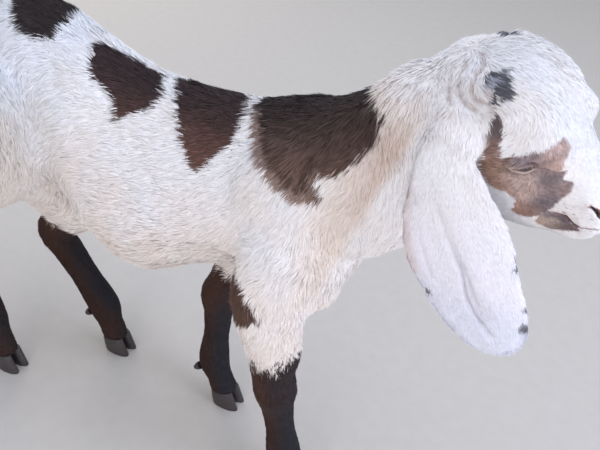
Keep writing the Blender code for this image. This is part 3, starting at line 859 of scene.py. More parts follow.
def sculpt(places, corners, pairs, isEar, depth, eyeRadius):
    normals = spread(pointNormals(places, corners), pairs, 3)
    places = places - unit(normals) * depth[:, None]
    laid = places.copy()
    # Loose skin: faint folds on the neck and over the ear's root
    headPoint = toHead(places)
    for side in (-1, 1):
        for line in rootFolds:
            places = groove(places, normals, hugged(line, side, 0.0015), 0.0016, 0.0015 * (1 - isEar), 0.0)
    loose = ramp(headPoint[:, 0], -70, -30) * ramp(-headPoint[:, 0], -2, 12) * (1 - isEar)
    crease = np.sin((places @ (0.75, 0.10, 0.65)) / 0.0105 + 2.2 * waves(places, 0.06, 151))
    places = places + normals * (0.00055 * crease * loose)[:, None]
    for side in (-1, 1):
        places = groove(places, normals, hugged(mouthLine, side, faceCoat[0]), 0.0009, 0.0019, 0.0006)
        far, along = lineDistance(laid, hugged(nostrilLine, side, faceCoat[0]))
        width = nostrilWidth(along)
        pit = ramp(width * 1.2 - far, -0.0005, 0.0006) * (0.0012 + 0.0026 * ramp(along, 0.1, 0.7))
        rim = 0.0008 * np.exp(-((far - width - 0.0016) / 0.0012) ** 2)
        places = places + normals * (rim - pit)[:, None]
        places = sculptEye(places, side, eyeRadius)
    return groove(places, normals, hugged(philtrum, 1, faceCoat[0]), 0.0008, 0.0010, 0.0004), laid


def sculptEars(places, isEar, ears):
    # The leaf cups towards the cheek, with long folds; also how deep each place lies in a fold, which the
    # coat takes as painted shade
    shade = np.zeros(len(places))
    for side, rows in ears.items():
        mine = (isEar > 0.3) & (np.sign(places[:, 1]) == side)
        mine &= places[:, 2] < rows[-1, 0]
        z = places[mine, 2]
        across, flat = earPlace(places[mine], side, ears)
        across = np.clip(across, -1.1, 1.1)
        low = ramp(rows[-1, 0] - z, 0.010, 0.045)
        cup = -side * 0.0056 * (across ** 2 - 0.25) * low
        fold = 0.0005 * np.sin(across * 6.0 + z * 50 + 0.6) - creaseDepth(flat, 0.0018)
        shade[mine] = np.clip(creaseDepth(flat, 0.0013) / 0.0022, 0, 1)
        cup += side * fold * low * (1 - across ** 2).clip(0, 1)
        places[mine, 1] += cup * isEar[mine]
    return places, shade


# Lie of the hair: lines in millimetres, each with the way the hair runs near it

lieBoth = (
    ((118, 24, 395), (98, 44, 352)), ((98, 46, 352), (78, 56, 305)), ((76, 40, 378), (48, 54, 335)),
    ((48, 56, 335), (10, 60, 300)), ((20, 52, 355), (-80, 54, 335)), ((10, 62, 300), (-80, 60, 285)),
    ((-80, 54, 340), (-140, 50, 310)),
    ((80, 50, 300), (20, 52, 262)), ((20, 52, 262), (-60, 56, 238)), ((-60, 50, 245), (-125, 45, 240)),
    ((100, 15, 245), (0, 15, 215)), ((0, 15, 205), (-120, 15, 225)),
    ((-192, 48, 372), (-150, 54, 318)), ((-150, 54, 318), (-100, 56, 262)),
    ((-165, 50, 270), (-185, 46, 235)), ((-190, 22, 390), (-222, 22, 330)),
    ((-222, 16, 330), (-205, 26, 265)),
    ((112, 42, 350), (98, 54, 290)), ((95, 56, 285), (92, 52, 225)),
    ((136, 14, 350), (138, 18, 295)), ((132, 12, 285), (100, 12, 248)),
    ((172, 24, 440), (118, 42, 372)), ((182, 6, 395), (150, 10, 325)),
    ((160, 44, 436), (168, 48, 400)), ((146, 43, 420), (154, 47, 385)), ((154, 47, 385), (152, 46, 345)),
)
lieMiddle = (
    ((95, 2, 410), (0, 2, 392)), ((0, 2, 392), (-110, 2, 402)), ((-110, 4, 405), (-212, 6, 388)),
    ((172, -16, 480), (100, 0, 415)), ((-205, 10, 390), (-253, 12, 380)),
    ((-253, 12, 380), (-279, 16, 345)),
)
lieHead = (
    # head frame, left side
    ((0, 4, 16), (30, 6, 25)), ((30, 6, 25), (62, 6, 20)), ((62, 5, 18), (118, 4, -30)),
    ((72, 30, -28), (30, 33, -48)), ((36, 24, 20), (52, 27, 12)), ((14, 12, 22), (56, 16, 20)),
    ((-6, 5, 11), (-22, 6, -4)),
    ((100, 12, -62), (40, 20, -80)), ((78, 27, -18), (104, 17, -16)), ((84, 24, -34), (108, 16, -36)),
    ((54, 30, 12), (58, 35, 0)), ((70, 22, 8), (80, 22, -8)), ((48, 37, -12), (30, 36, -16)),
    ((14, 27, 16), (38, 25, 19)), ((6, 10, 15), (6, 22, 8)), ((6, 22, 8), (12, 32, 2)),
    ((12, 32, 2), (24, 38, 0)), ((24, 38, 0), (36, 36, 0)), ((-5, 11, 5), (-3, 24, -2)),
    ((-3, 24, -2), (8, 38, -6)),
    ((8, 38, -6), (22, 45, -7)), ((64, 33, -26), (66, 30, -44)), ((46, 30, 12), (34, 34, 2)),
    ((9, 12, 15.5), (12, 25, 11)), ((12, 25, 11), (18, 31, 7)), ((18, 31, 7), (25, 32, 11)),
)
lieLegs = {
    "foreleg_right": ((88, -52, 262), (98, -38, 158), (108, -20, 58), (125, -18, 12)),
    "foreleg_left": ((36, 53, 258), (-8, 44, 152), (-10, 45, 58), (5, 46, 12)),
    "hindleg_right": ((-161, -42, 276), (-265, -38, 182), (-243, -38, 60), (-227, -38, 12)),
    "hindleg_left": ((-150, 46, 264), (-215, 42, 142), (-159, 46, 60), (-143, 47, 12)),
}


def lieLines():
    lines = [np.array(l, float) / 1000 for l in lieMiddle]
    for side in (-1, 1):
        lines += [np.array([(x, side * y, z) for x, y, z in l], float) / 1000 for l in lieBoth]
        lines += [fromHead(mirrored(l, side)) for l in lieHead]
    for path in lieLegs.values():
        path = np.array(path, float) / 1000
        lines += [np.stack(pair) for pair in zip(path, path[1:])]
    return lines


def lieField(places, normals, pairs, isEar, ears):
    total = np.zeros_like(places)
    for a, b in lieLines():
        step = b - a
        t = np.clip((places - a) @ step / (step @ step), 0, 1)
        far = np.sum((places - a - t[:, None] * step) ** 2, axis=1)
        total += unit(step)[None] / ((far + 4e-5) ** 2)[:, None]
    flow = unit(total)
    for side, rows in ears.items():
        mine = (isEar > 0.25) & (np.sign(places[:, 1]) == side)
        z = places[mine, 2]
        slope = np.gradient(rows[:, 1], rows[:, 0])
        lean = np.interp(z, rows[:, 0], slope)
        middle = np.interp(z, rows[:, 0], rows[:, 1])
        half = np.interp(z, rows[:, 0], rows[:, 2])
        fan = np.clip((places[mine, 0] - middle) / np.maximum(half, 0.004), -1, 1) * 0.35
        fan = fan * ramp(rows[-1, 0] - z, 0.015, 0.055)
        flow[mine] = unit(np.stack([-lean + fan, np.zeros(len(z)), -np.ones(len(z))], axis=1))
    for _ in range(3):
        flow = spread(unit(laidOn(flow, normals)), pairs, 4)
    flow = laidOn(flow, normals)
    # Near a whorl the neighbours disagree, and the length shows it
    return unit(flow), np.linalg.norm(flow, axis=1)


# Coat

coatMake = {
    # depth over the skin, length and width of a tuft in metres, tufts per square centimetre
    "trunk": (0.0038, 0.0125, 0.00085, 150),
    "neck": (0.0036, 0.0125, 0.00095, 160),
    "head": (0.0020, 0.0070, 0.00062, 300),
    "tail": (0.0030, 0.0140, 0.00085, 200),
    "ear": (0.0007, 0.0052, 0.00070, 290),
    "leg": (0.0018, 0.0085, 0.00075, 165),
}
faceCoat = (0.0008, 0.0033, 0.00046, 430)       # the same for the short hair before the brow


def coatKind(name):
    return "ear" if name.startswith("ear") else "leg" if "leg" in name else name


def isKind(owner, kind):
    # Which places belong to a solid of that kind
    return np.array([coatKind(name) == kind for name in flesh])[owner]


def coatFields(owner, places, pairs, ears):
    # Depth, length, width and density of the coat at every point of the skin, flowing into each other
    table = np.array([coatMake[coatKind(name)] for name in flesh])
    fields = table[owner]
    headPoint = toHead(places)
    isHead = (owner == flesh.index("head")).astype(float)
    short = isHead * ramp(headPoint[:, 0] - 0.35 * headPoint[:, 2], 38, 72)
    fields = fields * (1 - short[:, None]) + np.array(faceCoat) * short[:, None]
    # The hair of the head runs on over the top of the ears
    for side, rows in ears.items():
        mine = isKind(owner, "ear") & (np.sign(places[:, 1]) == side)
        share = mine * ramp(places[:, 2] - rows[-1, 0], -0.040, -0.004)
        fields = fields * (1 - share[:, None]) + np.array(coatMake["head"]) * share[:, None]
    low = ramp(0.17 - places[:, 2], 0.0, 0.10) * isKind(owner, "leg")
    fields[:, 0] *= 1 - 0.35 * low
    fields[:, 1] *= 1 - 0.35 * low
    return spread(fields, pairs, 20)


coatMap = {"triangles": 7000, "angle": 66, "margin": 0.004, "patch": 0.0015}      # patch: half its width


def unwrapTree(skin):
    # A light copy of the skin, unwrapped once, that gives every tuft its place on the map
    copy = skin.copy()
    copy.data = skin.data.copy()
    bpy.context.scene.collection.objects.link(copy)
    thin = copy.modifiers.new("thin", "DECIMATE")
    thin.ratio = coatMap["triangles"] / len(copy.data.polygons)
    mesh = applied(copy)
    bpy.context.view_layer.objects.active = copy
    bpy.ops.object.select_all(action="DESELECT")
    copy.select_set(True)
    bpy.ops.object.mode_set(mode="EDIT")
    bpy.ops.mesh.select_all(action="SELECT")
    bpy.ops.uv.smart_project(angle_limit=math.radians(coatMap["angle"]), island_margin=coatMap["margin"])
    bpy.ops.object.mode_set(mode="OBJECT")
    mesh = copy.data
    places, corners = meshArrays(mesh)
    loops = np.empty(len(mesh.loop_triangles) * 3, np.int32)
    mesh.loop_triangles.foreach_get("loops", loops)
    spots = np.empty(len(mesh.loops) * 2, np.float32)
    mesh.uv_layers.active.uv.foreach_get("vector", spots)
    spots = spots.reshape(-1, 2)[loops.reshape(-1, 3)]
    tree = BVHTree.FromPolygons([Vector(p) for p in places], [list(map(int, c)) for c in corners])
    bpy.data.objects.remove(copy)
    return tree, places, corners, spots


def rootSpots(points, unwrapped):
    tree, places, corners, spots = unwrapped
    found = [tree.find_nearest(p) for p in points]
    faces = np.array([f[2] for f in found])
    at = np.array([f[0] for f in found])
    a, b, c = (places[corners[faces, k]] for k in range(3))
    area = np.cross(b - a, c - a)
    size = np.maximum(np.sum(area * area, axis=1), 1e-20)
    wb = np.sum(np.cross(at - a, c - a) * area, axis=1) / size
    wc = np.sum(np.cross(b - a, at - a) * area, axis=1) / size
    weights = np.stack([1 - wb - wc, wb, wc], axis=1)
    return np.sum(spots[faces] * weights[:, :, None], axis=1)


def laidOn(vectors, normals):
    # The part of each vector that lies along the surface
    return vectors - normals * np.sum(vectors * normals, axis=1, keepdims=True)


tuft = {
    "sunk": 0.0004,                      # how deep the root sits in the skin
    "shoulder": (0.36, 0.62),            # shares of length and rise at the widest place
    # Painted self-shadow: each tuft darker at its root and, in dark hair, lighter at its tip as painted
    # light
    "selfShadeShares": (0.96, 1.0, 1.0, 1.0),     # root, shoulder, tip, shoulder in white hair
    "darkSelfShadeShares": (-0.26, -0.08, 0.22, -0.08),
}


def turned(vectors, about, angle):
    # Turns each vector about a unit axis square to it
    return vectors * np.cos(angle)[:, None] + np.cross(about, vectors) * np.sin(angle)[:, None]


def tuftMesh(name, root, normal, flow, length, width, rise, roll, colour, dark, spots):
    # Flat kites with a bend: root, two shoulders and a tip, one patch of the map each
    count = len(root)
    side = np.cross(normal, flow)
    side = side * np.cos(roll)[:, None] + normal * np.sin(roll)[:, None]
    along, above = tuft["shoulder"]
    shoulder = root + flow * (along * length)[:, None] + normal * (above * rise)[:, None]
    verts = np.empty((count, 4, 3), np.float32)
    verts[:, 0] = root - normal * tuft["sunk"]
    verts[:, 1] = shoulder - side * (width / 2)[:, None]
    verts[:, 2] = root + flow * length[:, None] + normal * rise[:, None]
    verts[:, 3] = shoulder + side * (width / 2)[:, None]
    faces = np.array([(0, 1, 3), (1, 2, 3)])
    corners = (np.arange(count)[:, None, None] * 4 + faces).reshape(-1)
    mesh = bpy.data.meshes.new(name)
    mesh.vertices.add(count * 4)
    mesh.vertices.foreach_set("co", verts.ravel())
    mesh.loops.add(count * 6)
    mesh.loops.foreach_set("vertex_index", corners.astype(np.int32))
    mesh.polygons.add(count * 2)
    mesh.polygons.foreach_set("loop_start", np.arange(count * 2, dtype=np.int32) * 3)
    shadeSmooth(mesh)
    tints = np.ones((count, 4, 4), np.float32)
    # Painted self-shadow along each tuft
    for i, (shade, more) in enumerate(zip(tuft["selfShadeShares"], tuft["darkSelfShadeShares"])):
        tints[:, i, :3] = np.clip(colour * (shade + more * dark[:, None]), 0, 1)
    layer = mesh.attributes.new("coatColour", "FLOAT_COLOR", "POINT")
    layer.data.foreach_set("color", tints.ravel())
    offsets = np.array([(-1, 0), (0, -1), (1, 0), (0, 1)]) * coatMap["patch"]
    places = (spots[:, None] + offsets[None]).reshape(-1, 2)
    unwrap = mesh.uv_layers.new(name="OFBake")
    unwrap.uv.foreach_set("vector", places[corners].astype(np.float32).ravel())
    mesh.validate()
    mesh.update()
    made = bpy.data.objects.new(name, mesh)
    bpy.context.scene.collection.objects.link(made)
    return made


def bareShare(points, reach=1.0):
    # Where no hair grows: lid rims, nostrils and mouth, by places on the skin before the face is carved
    bare = np.zeros(len(points))
    muzzle = toHead(points)[:, 0] > 82
    line, _ = lineDistance(points[muzzle], hugged(philtrum, 1, faceCoat[0]))
    bare[muzzle] = line < 0.0014 * reach
    for side in (-1, 1):
        _, far, _, a, b = eyeAngles(points, side)
        beyond = beyondLids(a, b, 3.0)
        limit = np.where(b < 0, 0.17, 0.09) * reach
        bare = np.maximum(bare, (beyond < limit) & (far < 0.0145))
        line, along = lineDistance(points[muzzle], hugged(nostrilLine, side, faceCoat[0]))
        bare[muzzle] = np.maximum(bare[muzzle], line < nostrilWidth(along) + 0.0009 * reach)
        line, _ = lineDistance(points[muzzle], hugged(mouthLine, side, faceCoat[0]))
        bare[muzzle] = np.maximum(bare[muzzle], line < 0.0010 * reach)
    return bare


growth = {
    # how locks lean, stand and streak, each as waves: height, reach in metres and seed
    "sway": ((0.26, 0.021, 201), (0.17, 0.0075, 202)),
    "proud": ((0.20, 0.0060, 203), (0.14, 0.0021, 204)),
    "streak": ((0.022, 0.0034, 205), (0.014, 0.011, 206)),
    # spans of chance
    "rise": (0.55, 1.0),
    "length": (0.62, 1.12),
    "width": (0.7, 1.25),
    "fluffyLength": 0.0125,
    "foldShadeColour": "#b9b2c4",
    "sides": {"trunk": 0.008, "head": -0.012, "neck": -0.012},      # where right and left half part
    "rear": -0.05,                                                  # and fore and rear half of the trunk
}


def waveSum(points, parts):
    return sum(height * waves(points, reach, seed) for height, reach, seed in parts)


def growCoat(places, laid, foldShade, corners, normals, flow, sure, fields, owner, isEar, legIndex,
             unwrapped, material):
    # Tufts over the skin: as many as the fields ask for, each at a place drawn at random
    a, b, c = (places[corners[:, k]] for k in range(3))
    area = np.linalg.norm(np.cross(b - a, c - a), axis=1) / 2
    density = fields[corners, 3].mean(axis=1) * 1e4
    wanted = area * density * 1.0
    count = int(wanted.sum())
    chosen = rng.choice(len(corners), size=count, p=wanted / wanted.sum())
    r1 = np.sqrt(rng.random(count))
    r2 = rng.random(count)
    weights = np.stack([1 - r1, r1 * (1 - r2), r1 * r2], axis=1)
    mine = corners[chosen]

    def at(values):
        if values.ndim == 1:
            return np.sum(values[mine] * weights, axis=1)
        return np.sum(values[mine] * weights[:, :, None], axis=1)

    root = at(places)
    start = at(laid)
    reach = unit(at(flow)) * at(fields[:, 1])[:, None]
    keep = (bareShare(start) < 0.5) & (bareShare(start + 0.75 * reach, 0.6) < 0.5)
    keep &= bareShare(start + 0.4 * reach, 0.6) < 0.5
    weights, mine, root = weights[keep], mine[keep], root[keep]
    count = len(root)
    normal = unit(at(normals))
    lie = unit(laidOn(at(flow), normal))
    depth, length, width, _ = at(fields).T
    ear = at(isEar)
    body = owner[mine[:, 0]]
    leg = legIndex[mine[:, 0]]

    # Locks: neighbours lean together, and some stand prouder than others
    fluff = np.clip(length / growth["fluffyLength"], 0.25, 1.0)
    angle = waveSum(root, growth["sway"]) * (0.35 + 0.65 * fluff) + rng.normal(0, 0.10, count)
    angle += rng.normal(0, 1.7, count) * ramp(0.80 - at(sure), 0, 0.35)
    lie = turned(lie, normal, angle)
    proud = np.clip(0.62 + waveSum(root, growth["proud"]), 0.25, 1.0)
    rise = depth * proud * rng.uniform(*growth["rise"], count)
    length = length * rng.uniform(*growth["length"], count) * (0.85 + 0.25 * proud)
    width = width * rng.uniform(*growth["width"], count) * 1.0
    roll = rng.normal(0, 1, count) * (0.10 + 0.24 * fluff)
    # A tuft takes the mark that its middle lies on, a little at random, so that edges break hair by hair
    onLeg = isKind(leg, "leg")
    stray = rng.normal(0, 1, (count, 3)) * (length * np.where(onLeg, 0.22, 0.09))[:, None]
    colour, dark = markingsAndShade(root + lie * (0.62 * length)[:, None] + stray, ear, leg)
    streak = waveSum(root, growth["streak"])
    value = 1.0 + (streak + rng.normal(0, 0.024, count)) * (1 - 0.6 * ear)
    value = np.where(dark > 0.5, 1.0 + (value - 1.0) * np.where(onLeg, 2.5, 5.0), value)
    # Painted shade in the ear's creases
    colour = mix(colour, hexColour(growth["foldShadeColour"]), at(foldShade) * 0.50)
    colour = np.clip(colour * np.clip(value, 0.5, 1.7)[:, None], 0, 1)
    spots = rootSpots(root, unwrapped)

    groups = {}
    for i, name in enumerate(flesh):
        mineHere = body == i
        label = "coat_" + name
        if name in growth["sides"]:
            right = root[:, 1] < growth["sides"][name]
            parts = {"right": mineHere & right, "left": mineHere & ~right}
            if name == "trunk":
                fore = root[:, 0] > growth["rear"]
                parts = {k + end: v & (fore if end == "_fore" else ~fore)
                         for k, v in parts.items() for end in ("_fore", "_rear")}
            for end, pick in parts.items():
                groups[label + "_" + end] = pick
        else:
            groups[label] = mineHere
    pieces = []
    for label, pick in groups.items():
        thing = tuftMesh(label, root[pick], normal[pick], lie[pick], length[pick], width[pick], rise[pick],
                         roll[pick], colour[pick], dark[pick], spots[pick])
        thing.data.materials.append(material)
        pieces.append(thing)
        print("  ", label, int(pick.sum()) * 2, "triangles")
    return pieces


# Materials

def hairMaterial():
    # Short dry kid hair: white to brown-black keratin, soft sheen and no gloss
    made, tree = newMaterial("shortGoatHair")
    tint = addNode(tree, "ShaderNodeAttribute", attribute_name="coatColour")
    place = addNode(tree, "ShaderNodeTexCoord").outputs["Object"]
    # Hair to hair change of tone, drawn at 1.2 mm so that it shows
    speck = addNode(tree, "ShaderNodeTexNoise", {"Vector": place, "Scale": 800.0, "Detail": 1.0})
    tone = addNode(tree, "ShaderNodeMapRange", {
        "Value": speck.outputs["Fac"], "To Min": 0.95, "To Max": 1.03})
    shaded = addNode(tree, "ShaderNodeVectorMath", {0: tint.outputs["Color"], 1: tone.outputs["Result"]},
                     operation="MULTIPLY")
    rough = addNode(tree, "ShaderNodeMapRange", {
        "Value": speck.outputs["Fac"], "To Min": 0.62, "To Max": 0.82})
    shader = addNode(tree, "ShaderNodeBsdfPrincipled", {
        "Base Color": shaded.outputs["Vector"], "Roughness": rough.outputs["Result"],
        "Specular IOR Level": 0.18, "Sheen Weight": 0.04, "Sheen Roughness": 0.5, "IOR": 1.5})
    addNode(tree, "ShaderNodeOutputMaterial", {"Surface": shader.outputs["BSDF"]})
    return made


def skinMaterial():
    # Thin living skin under the coat: pink where bare, with the grain of short hair
    made, tree = newMaterial("thinHairedSkin")
    tint = addNode(tree, "ShaderNodeAttribute", attribute_name="coatColour")
    bare = addNode(tree, "ShaderNodeAttribute", attribute_name="bareSkin")
    place = addNode(tree, "ShaderNodeTexCoord").outputs["Object"]
    # Pores and hair roots lie about 0.9 mm apart
    pore = addNode(tree, "ShaderNodeTexVoronoi", {"Vector": place, "Scale": 1100.0})
    fine = addNode(tree, "ShaderNodeTexNoise", {"Vector": place, "Scale": 650.0, "Detail": 3.0})
    tone = addNode(tree, "ShaderNodeMapRange", {
        "Value": fine.outputs["Fac"], "To Min": 0.88, "To Max": 1.08})
    shaded = addNode(tree, "ShaderNodeVectorMath", {0: tint.outputs["Color"], 1: tone.outputs["Result"]},
                     operation="MULTIPLY")
    height = addNode(tree, "ShaderNodeMath", {0: pore.outputs["Distance"], 1: fine.outputs["Fac"]},
                     operation="ADD")
    bump = addNode(tree, "ShaderNodeBump", {
        "Height": height.outputs["Value"], "Strength": 0.35, "Distance": 0.0004})
    rough = addNode(tree, "ShaderNodeMapRange", {
        "Value": bare.outputs["Fac"], "To Min": 0.78, "To Max": 0.42})
    shader = addNode(tree, "ShaderNodeBsdfPrincipled", {
        "Base Color": shaded.outputs["Vector"], "Roughness": rough.outputs["Result"],
        "Normal": bump.outputs["Normal"], "Specular IOR Level": 0.35, "IOR": 1.4})
    addNode(tree, "ShaderNodeOutputMaterial", {"Surface": shader.outputs["BSDF"]})
    return made


def hornMaterial():
    # Hoof horn: dark keratin, grown in fine level bands, dull with a little polish on the wear
    made, tree = newMaterial("hoofHorn")
    place = addNode(tree, "ShaderNodeTexCoord").outputs["Object"]
    # Growth bands about 1.6 mm apart
    stretch = addNode(tree, "ShaderNodeMapping", {"Vector": place, "Scale": (60.0, 60.0, 600.0)})
    bands = addNode(tree, "ShaderNodeTexNoise", {
        "Vector": stretch.outputs["Vector"], "Scale": 1.0, "Detail": 2.0})
    tone = addNode(tree, "ShaderNodeMix", {
        0: bands.outputs["Fac"], 6: four("#1f1b1d"), 7: four("#4a4243")}, data_type="RGBA")
    bump = addNode(tree, "ShaderNodeBump", {
        "Height": bands.outputs["Fac"], "Strength": 0.4, "Distance": 0.0005})
    rough = addNode(tree, "ShaderNodeMapRange", {
        "Value": bands.outputs["Fac"], "To Min": 0.38, "To Max": 0.62})
    shader = addNode(tree, "ShaderNodeBsdfPrincipled", {
        "Base Color": tone.outputs[2], "Roughness": rough.outputs["Result"],
        "Normal": bump.outputs["Normal"], "IOR": 1.54})
    addNode(tree, "ShaderNodeOutputMaterial", {"Surface": shader.outputs["BSDF"]})
    return made


def eyeMaterial(name, side):
    # Wet eyeball: amber-brown iris with a level slot pupil under a clear cornea
    made, tree = newMaterial(name)
    centre = fromHead((eyeX, side * eyeY, eyeZ))
    out, along, up = eyeAxes(side)
    place = addNode(tree, "ShaderNodeTexCoord").outputs["Object"]
    local = addNode(tree, "ShaderNodeVectorMath", {0: place, 1: tuple(centre)}, operation="SUBTRACT")
    parts = {}
    for key, axis in (("out", out), ("along", along), ("up", up)):
        dot = addNode(tree, "ShaderNodeVectorMath", {0: local.outputs["Vector"], 1: tuple(axis)},
                      operation="DOT_PRODUCT")
        parts[key] = addNode(tree, "ShaderNodeMath", {0: dot.outputs["Value"], 1: 1000.0},
                             operation="MULTIPLY")
    flat = addNode(tree, "ShaderNodeCombineXYZ", {
        "X": parts["along"].outputs["Value"], "Y": parts["up"].outputs["Value"]})
    reach = addNode(tree, "ShaderNodeVectorMath", {0: flat.outputs["Vector"]}, operation="LENGTH")
    # Fibres of the iris fan out from the pupil
    fan = addNode(tree, "ShaderNodeTexNoise", {
        "Vector": flat.outputs["Vector"], "Scale": 1.4, "Detail": 4.0})
    iris = addNode(tree, "ShaderNodeMix", {
        0: fan.outputs["Fac"], 6: four("#4a2c16"), 7: four("#8a5a2a")}, data_type="RGBA")
    rim = addNode(tree, "ShaderNodeMapRange", {
        "Value": reach.outputs["Value"], "From Min": 5.6, "From Max": 6.6})
    edge = addNode(tree, "ShaderNodeMix", {0: rim.outputs["Result"], 6: iris.outputs[2], 7: four("#3a2f2c")},
                   data_type="RGBA")
    # The slot pupil is about 6.9 mm wide and 2.6 mm tall
    shares = []
    for key, inner, outer in (("along", 3.2, 3.7), ("up", 1.1, 1.5)):
        size = addNode(tree, "ShaderNodeMath", {0: parts[key].outputs["Value"]}, operation="ABSOLUTE")
        shares.append(addNode(tree, "ShaderNodeMapRange", {
            "Value": size.outputs["Value"], "From Min": inner, "From Max": outer,
            "To Min": 1.0, "To Max": 0.0}))
    slot = addNode(tree, "ShaderNodeMath", {0: shares[0].outputs["Result"], 1: shares[1].outputs["Result"]},
                   operation="MULTIPLY")
    whole = addNode(tree, "ShaderNodeMix", {
        0: slot.outputs["Value"], 6: edge.outputs[2], 7: four("#080606")}, data_type="RGBA")
    shader = addNode(tree, "ShaderNodeBsdfPrincipled", {
        "Base Color": whole.outputs[2], "Roughness": 0.22,
        "Coat Weight": 1.0, "Coat Roughness": 0.03, "IOR": 1.38})
    addNode(tree, "ShaderNodeOutputMaterial", {"Surface": shader.outputs["BSDF"]})
    return made


# Eyes, lashes and hooves

eyeMake = {
    "rows": (48, 32),
    "fill": 0.985,             # share of the solid's radius, so that the lids clear it
    "cornea": 0.0007,          # how proud the cornea stands over the iris
    "corneaEdge": (0.70, 0.92),
}


def addEye(side, word):
    low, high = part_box("eye_" + word)
    radius = (high[0] - low[0]) / 2
    out, along, up = (Vector(v) for v in eyeAxes(side))
    axes = Matrix((along, up, out)).transposed()
    form = bmesh.new()
    around, down = eyeMake["rows"]
    bmesh.ops.create_uvsphere(form, u_segments=around, v_segments=down, radius=radius * eyeMake["fill"])
    for vert in form.verts:
        bulge = eyeMake["cornea"] * float(ramp(vert.co.z / radius, *eyeMake["corneaEdge"]))
        vert.co += vert.co.normalized() * bulge
    centre = fromHead((eyeX, side * eyeY, eyeZ))
    bmesh.ops.transform(form, matrix=Matrix.Translation(centre) @ axes.to_4x4(), verts=form.verts)
    bmesh.ops.recalc_face_normals(form, faces=form.faces)
    eye = toObject("eyeball_" + word, form)
    shadeSmooth(eye.data)
    eye.data.materials.append(eyeMaterial("wetEyeball_" + word, side))
    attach(eye, "root")
    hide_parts("eye_" + word)
    return radius


lashMake = {
    "count": 20,
    "span": (-0.62, 0.58),     # along the lid, as an angle round the eyeball
    "above": 0.03,             # over the edge of the lid, as an angle
    "length": 0.0040,
    "thick": 0.00007,
    "bend": 0.55,              # share of the length below the bend
    "colour": "#b5a49c",
}


def addLashes(side, word, radius, material):
    # Pale lashes on the upper lid, each a slim three-sided spike
    out, along, up = eyeAxes(side)
    centre = fromHead((eyeX, side * eyeY, eyeZ))
    form = bmesh.new()
    draw = np.random.default_rng(301 + side)
    for a in np.linspace(*lashMake["span"], lashMake["count"]):
        a = a + draw.normal(0, 0.012)
        upper, _ = lidEdges(np.array([a]))
        b = upper[0] + lashMake["above"]
        ray = math.cos(b) * (math.cos(a) * out + math.sin(a) * along) + math.sin(b) * up
        root = centre + ray * (radius + lidShape["thick"])
        way = unit(ray * 0.95 + along * (a * 0.5 - 0.1) - up * (0.15 + draw.normal(0, 0.08)))
        length = lashMake["length"] * draw.uniform(0.7, 1.1)
        middle = root + way * length * lashMake["bend"]
        tip = middle + unit(way - up * 0.25 + ray * 0.1) * length * (1 - lashMake["bend"])
        sideways = unit(np.cross(way, up)) * lashMake["thick"]
        thick = unit(np.cross(way, sideways)) * lashMake["thick"]
        base = [form.verts.new(Vector(root + v)) for v in (sideways, -sideways, thick)]
        bend = [form.verts.new(Vector(middle + v * 0.7)) for v in (sideways, -sideways, thick)]
        end = form.verts.new(Vector(tip))
        for k in range(3):
            n = (k + 1) % 3
            form.faces.new((base[k], base[n], bend[n], bend[k]))
            form.faces.new((bend[k], bend[n], end))
        form.faces.new(base[::-1])
    bmesh.ops.recalc_face_normals(form, faces=form.faces)
    lashes = toObject("lashes_" + word, form)
    layer = lashes.data.attributes.new("coatColour", "FLOAT_COLOR", "POINT")
    tint = np.tile(four(lashMake["colour"]), len(lashes.data.vertices))
    layer.data.foreach_set("color", tint.astype(np.float32))
    lashes.data.materials.append(material)
    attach(lashes, "root")


hornMake = {
    "round": {"claw": 0.0011, "dewclaw": 0.0004},      # width of the rounded edges
    "flat": 3,                 # degrees between faces taken as one
    "sharp": 0.7,              # radians between faces that get a rounded edge
}


def refineHorn(material):
    # Each claw and dewclaw again, with its edges rounded inside the solid's own outline
    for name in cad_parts:
        if "claw" not in name:
            continue
        form = bmesh.new()
        form.from_mesh(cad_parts[name].data)
        bmesh.ops.remove_doubles(form, verts=form.verts, dist=1e-6)
        bmesh.ops.dissolve_limit(form, angle_limit=math.radians(hornMake["flat"]),
                                 verts=form.verts, edges=form.edges)
        width = hornMake["round"]["dewclaw" if "dew" in name else "claw"]
        sharp = [e for e in form.edges
                 if len(e.link_faces) == 2 and e.calc_face_angle(0) > hornMake["sharp"]]
        bmesh.ops.bevel(form, geom=sharp, offset=width, affect="EDGES", segments=3, profile=0.5, material=-1,
                        clamp_overlap=True)
        bmesh.ops.triangulate(form, faces=form.faces)
        made = toObject("horn_" + name, form)
        shadeSmooth(made.data)
        made.data.materials.append(material)
        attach(made, "root")
        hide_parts(name)


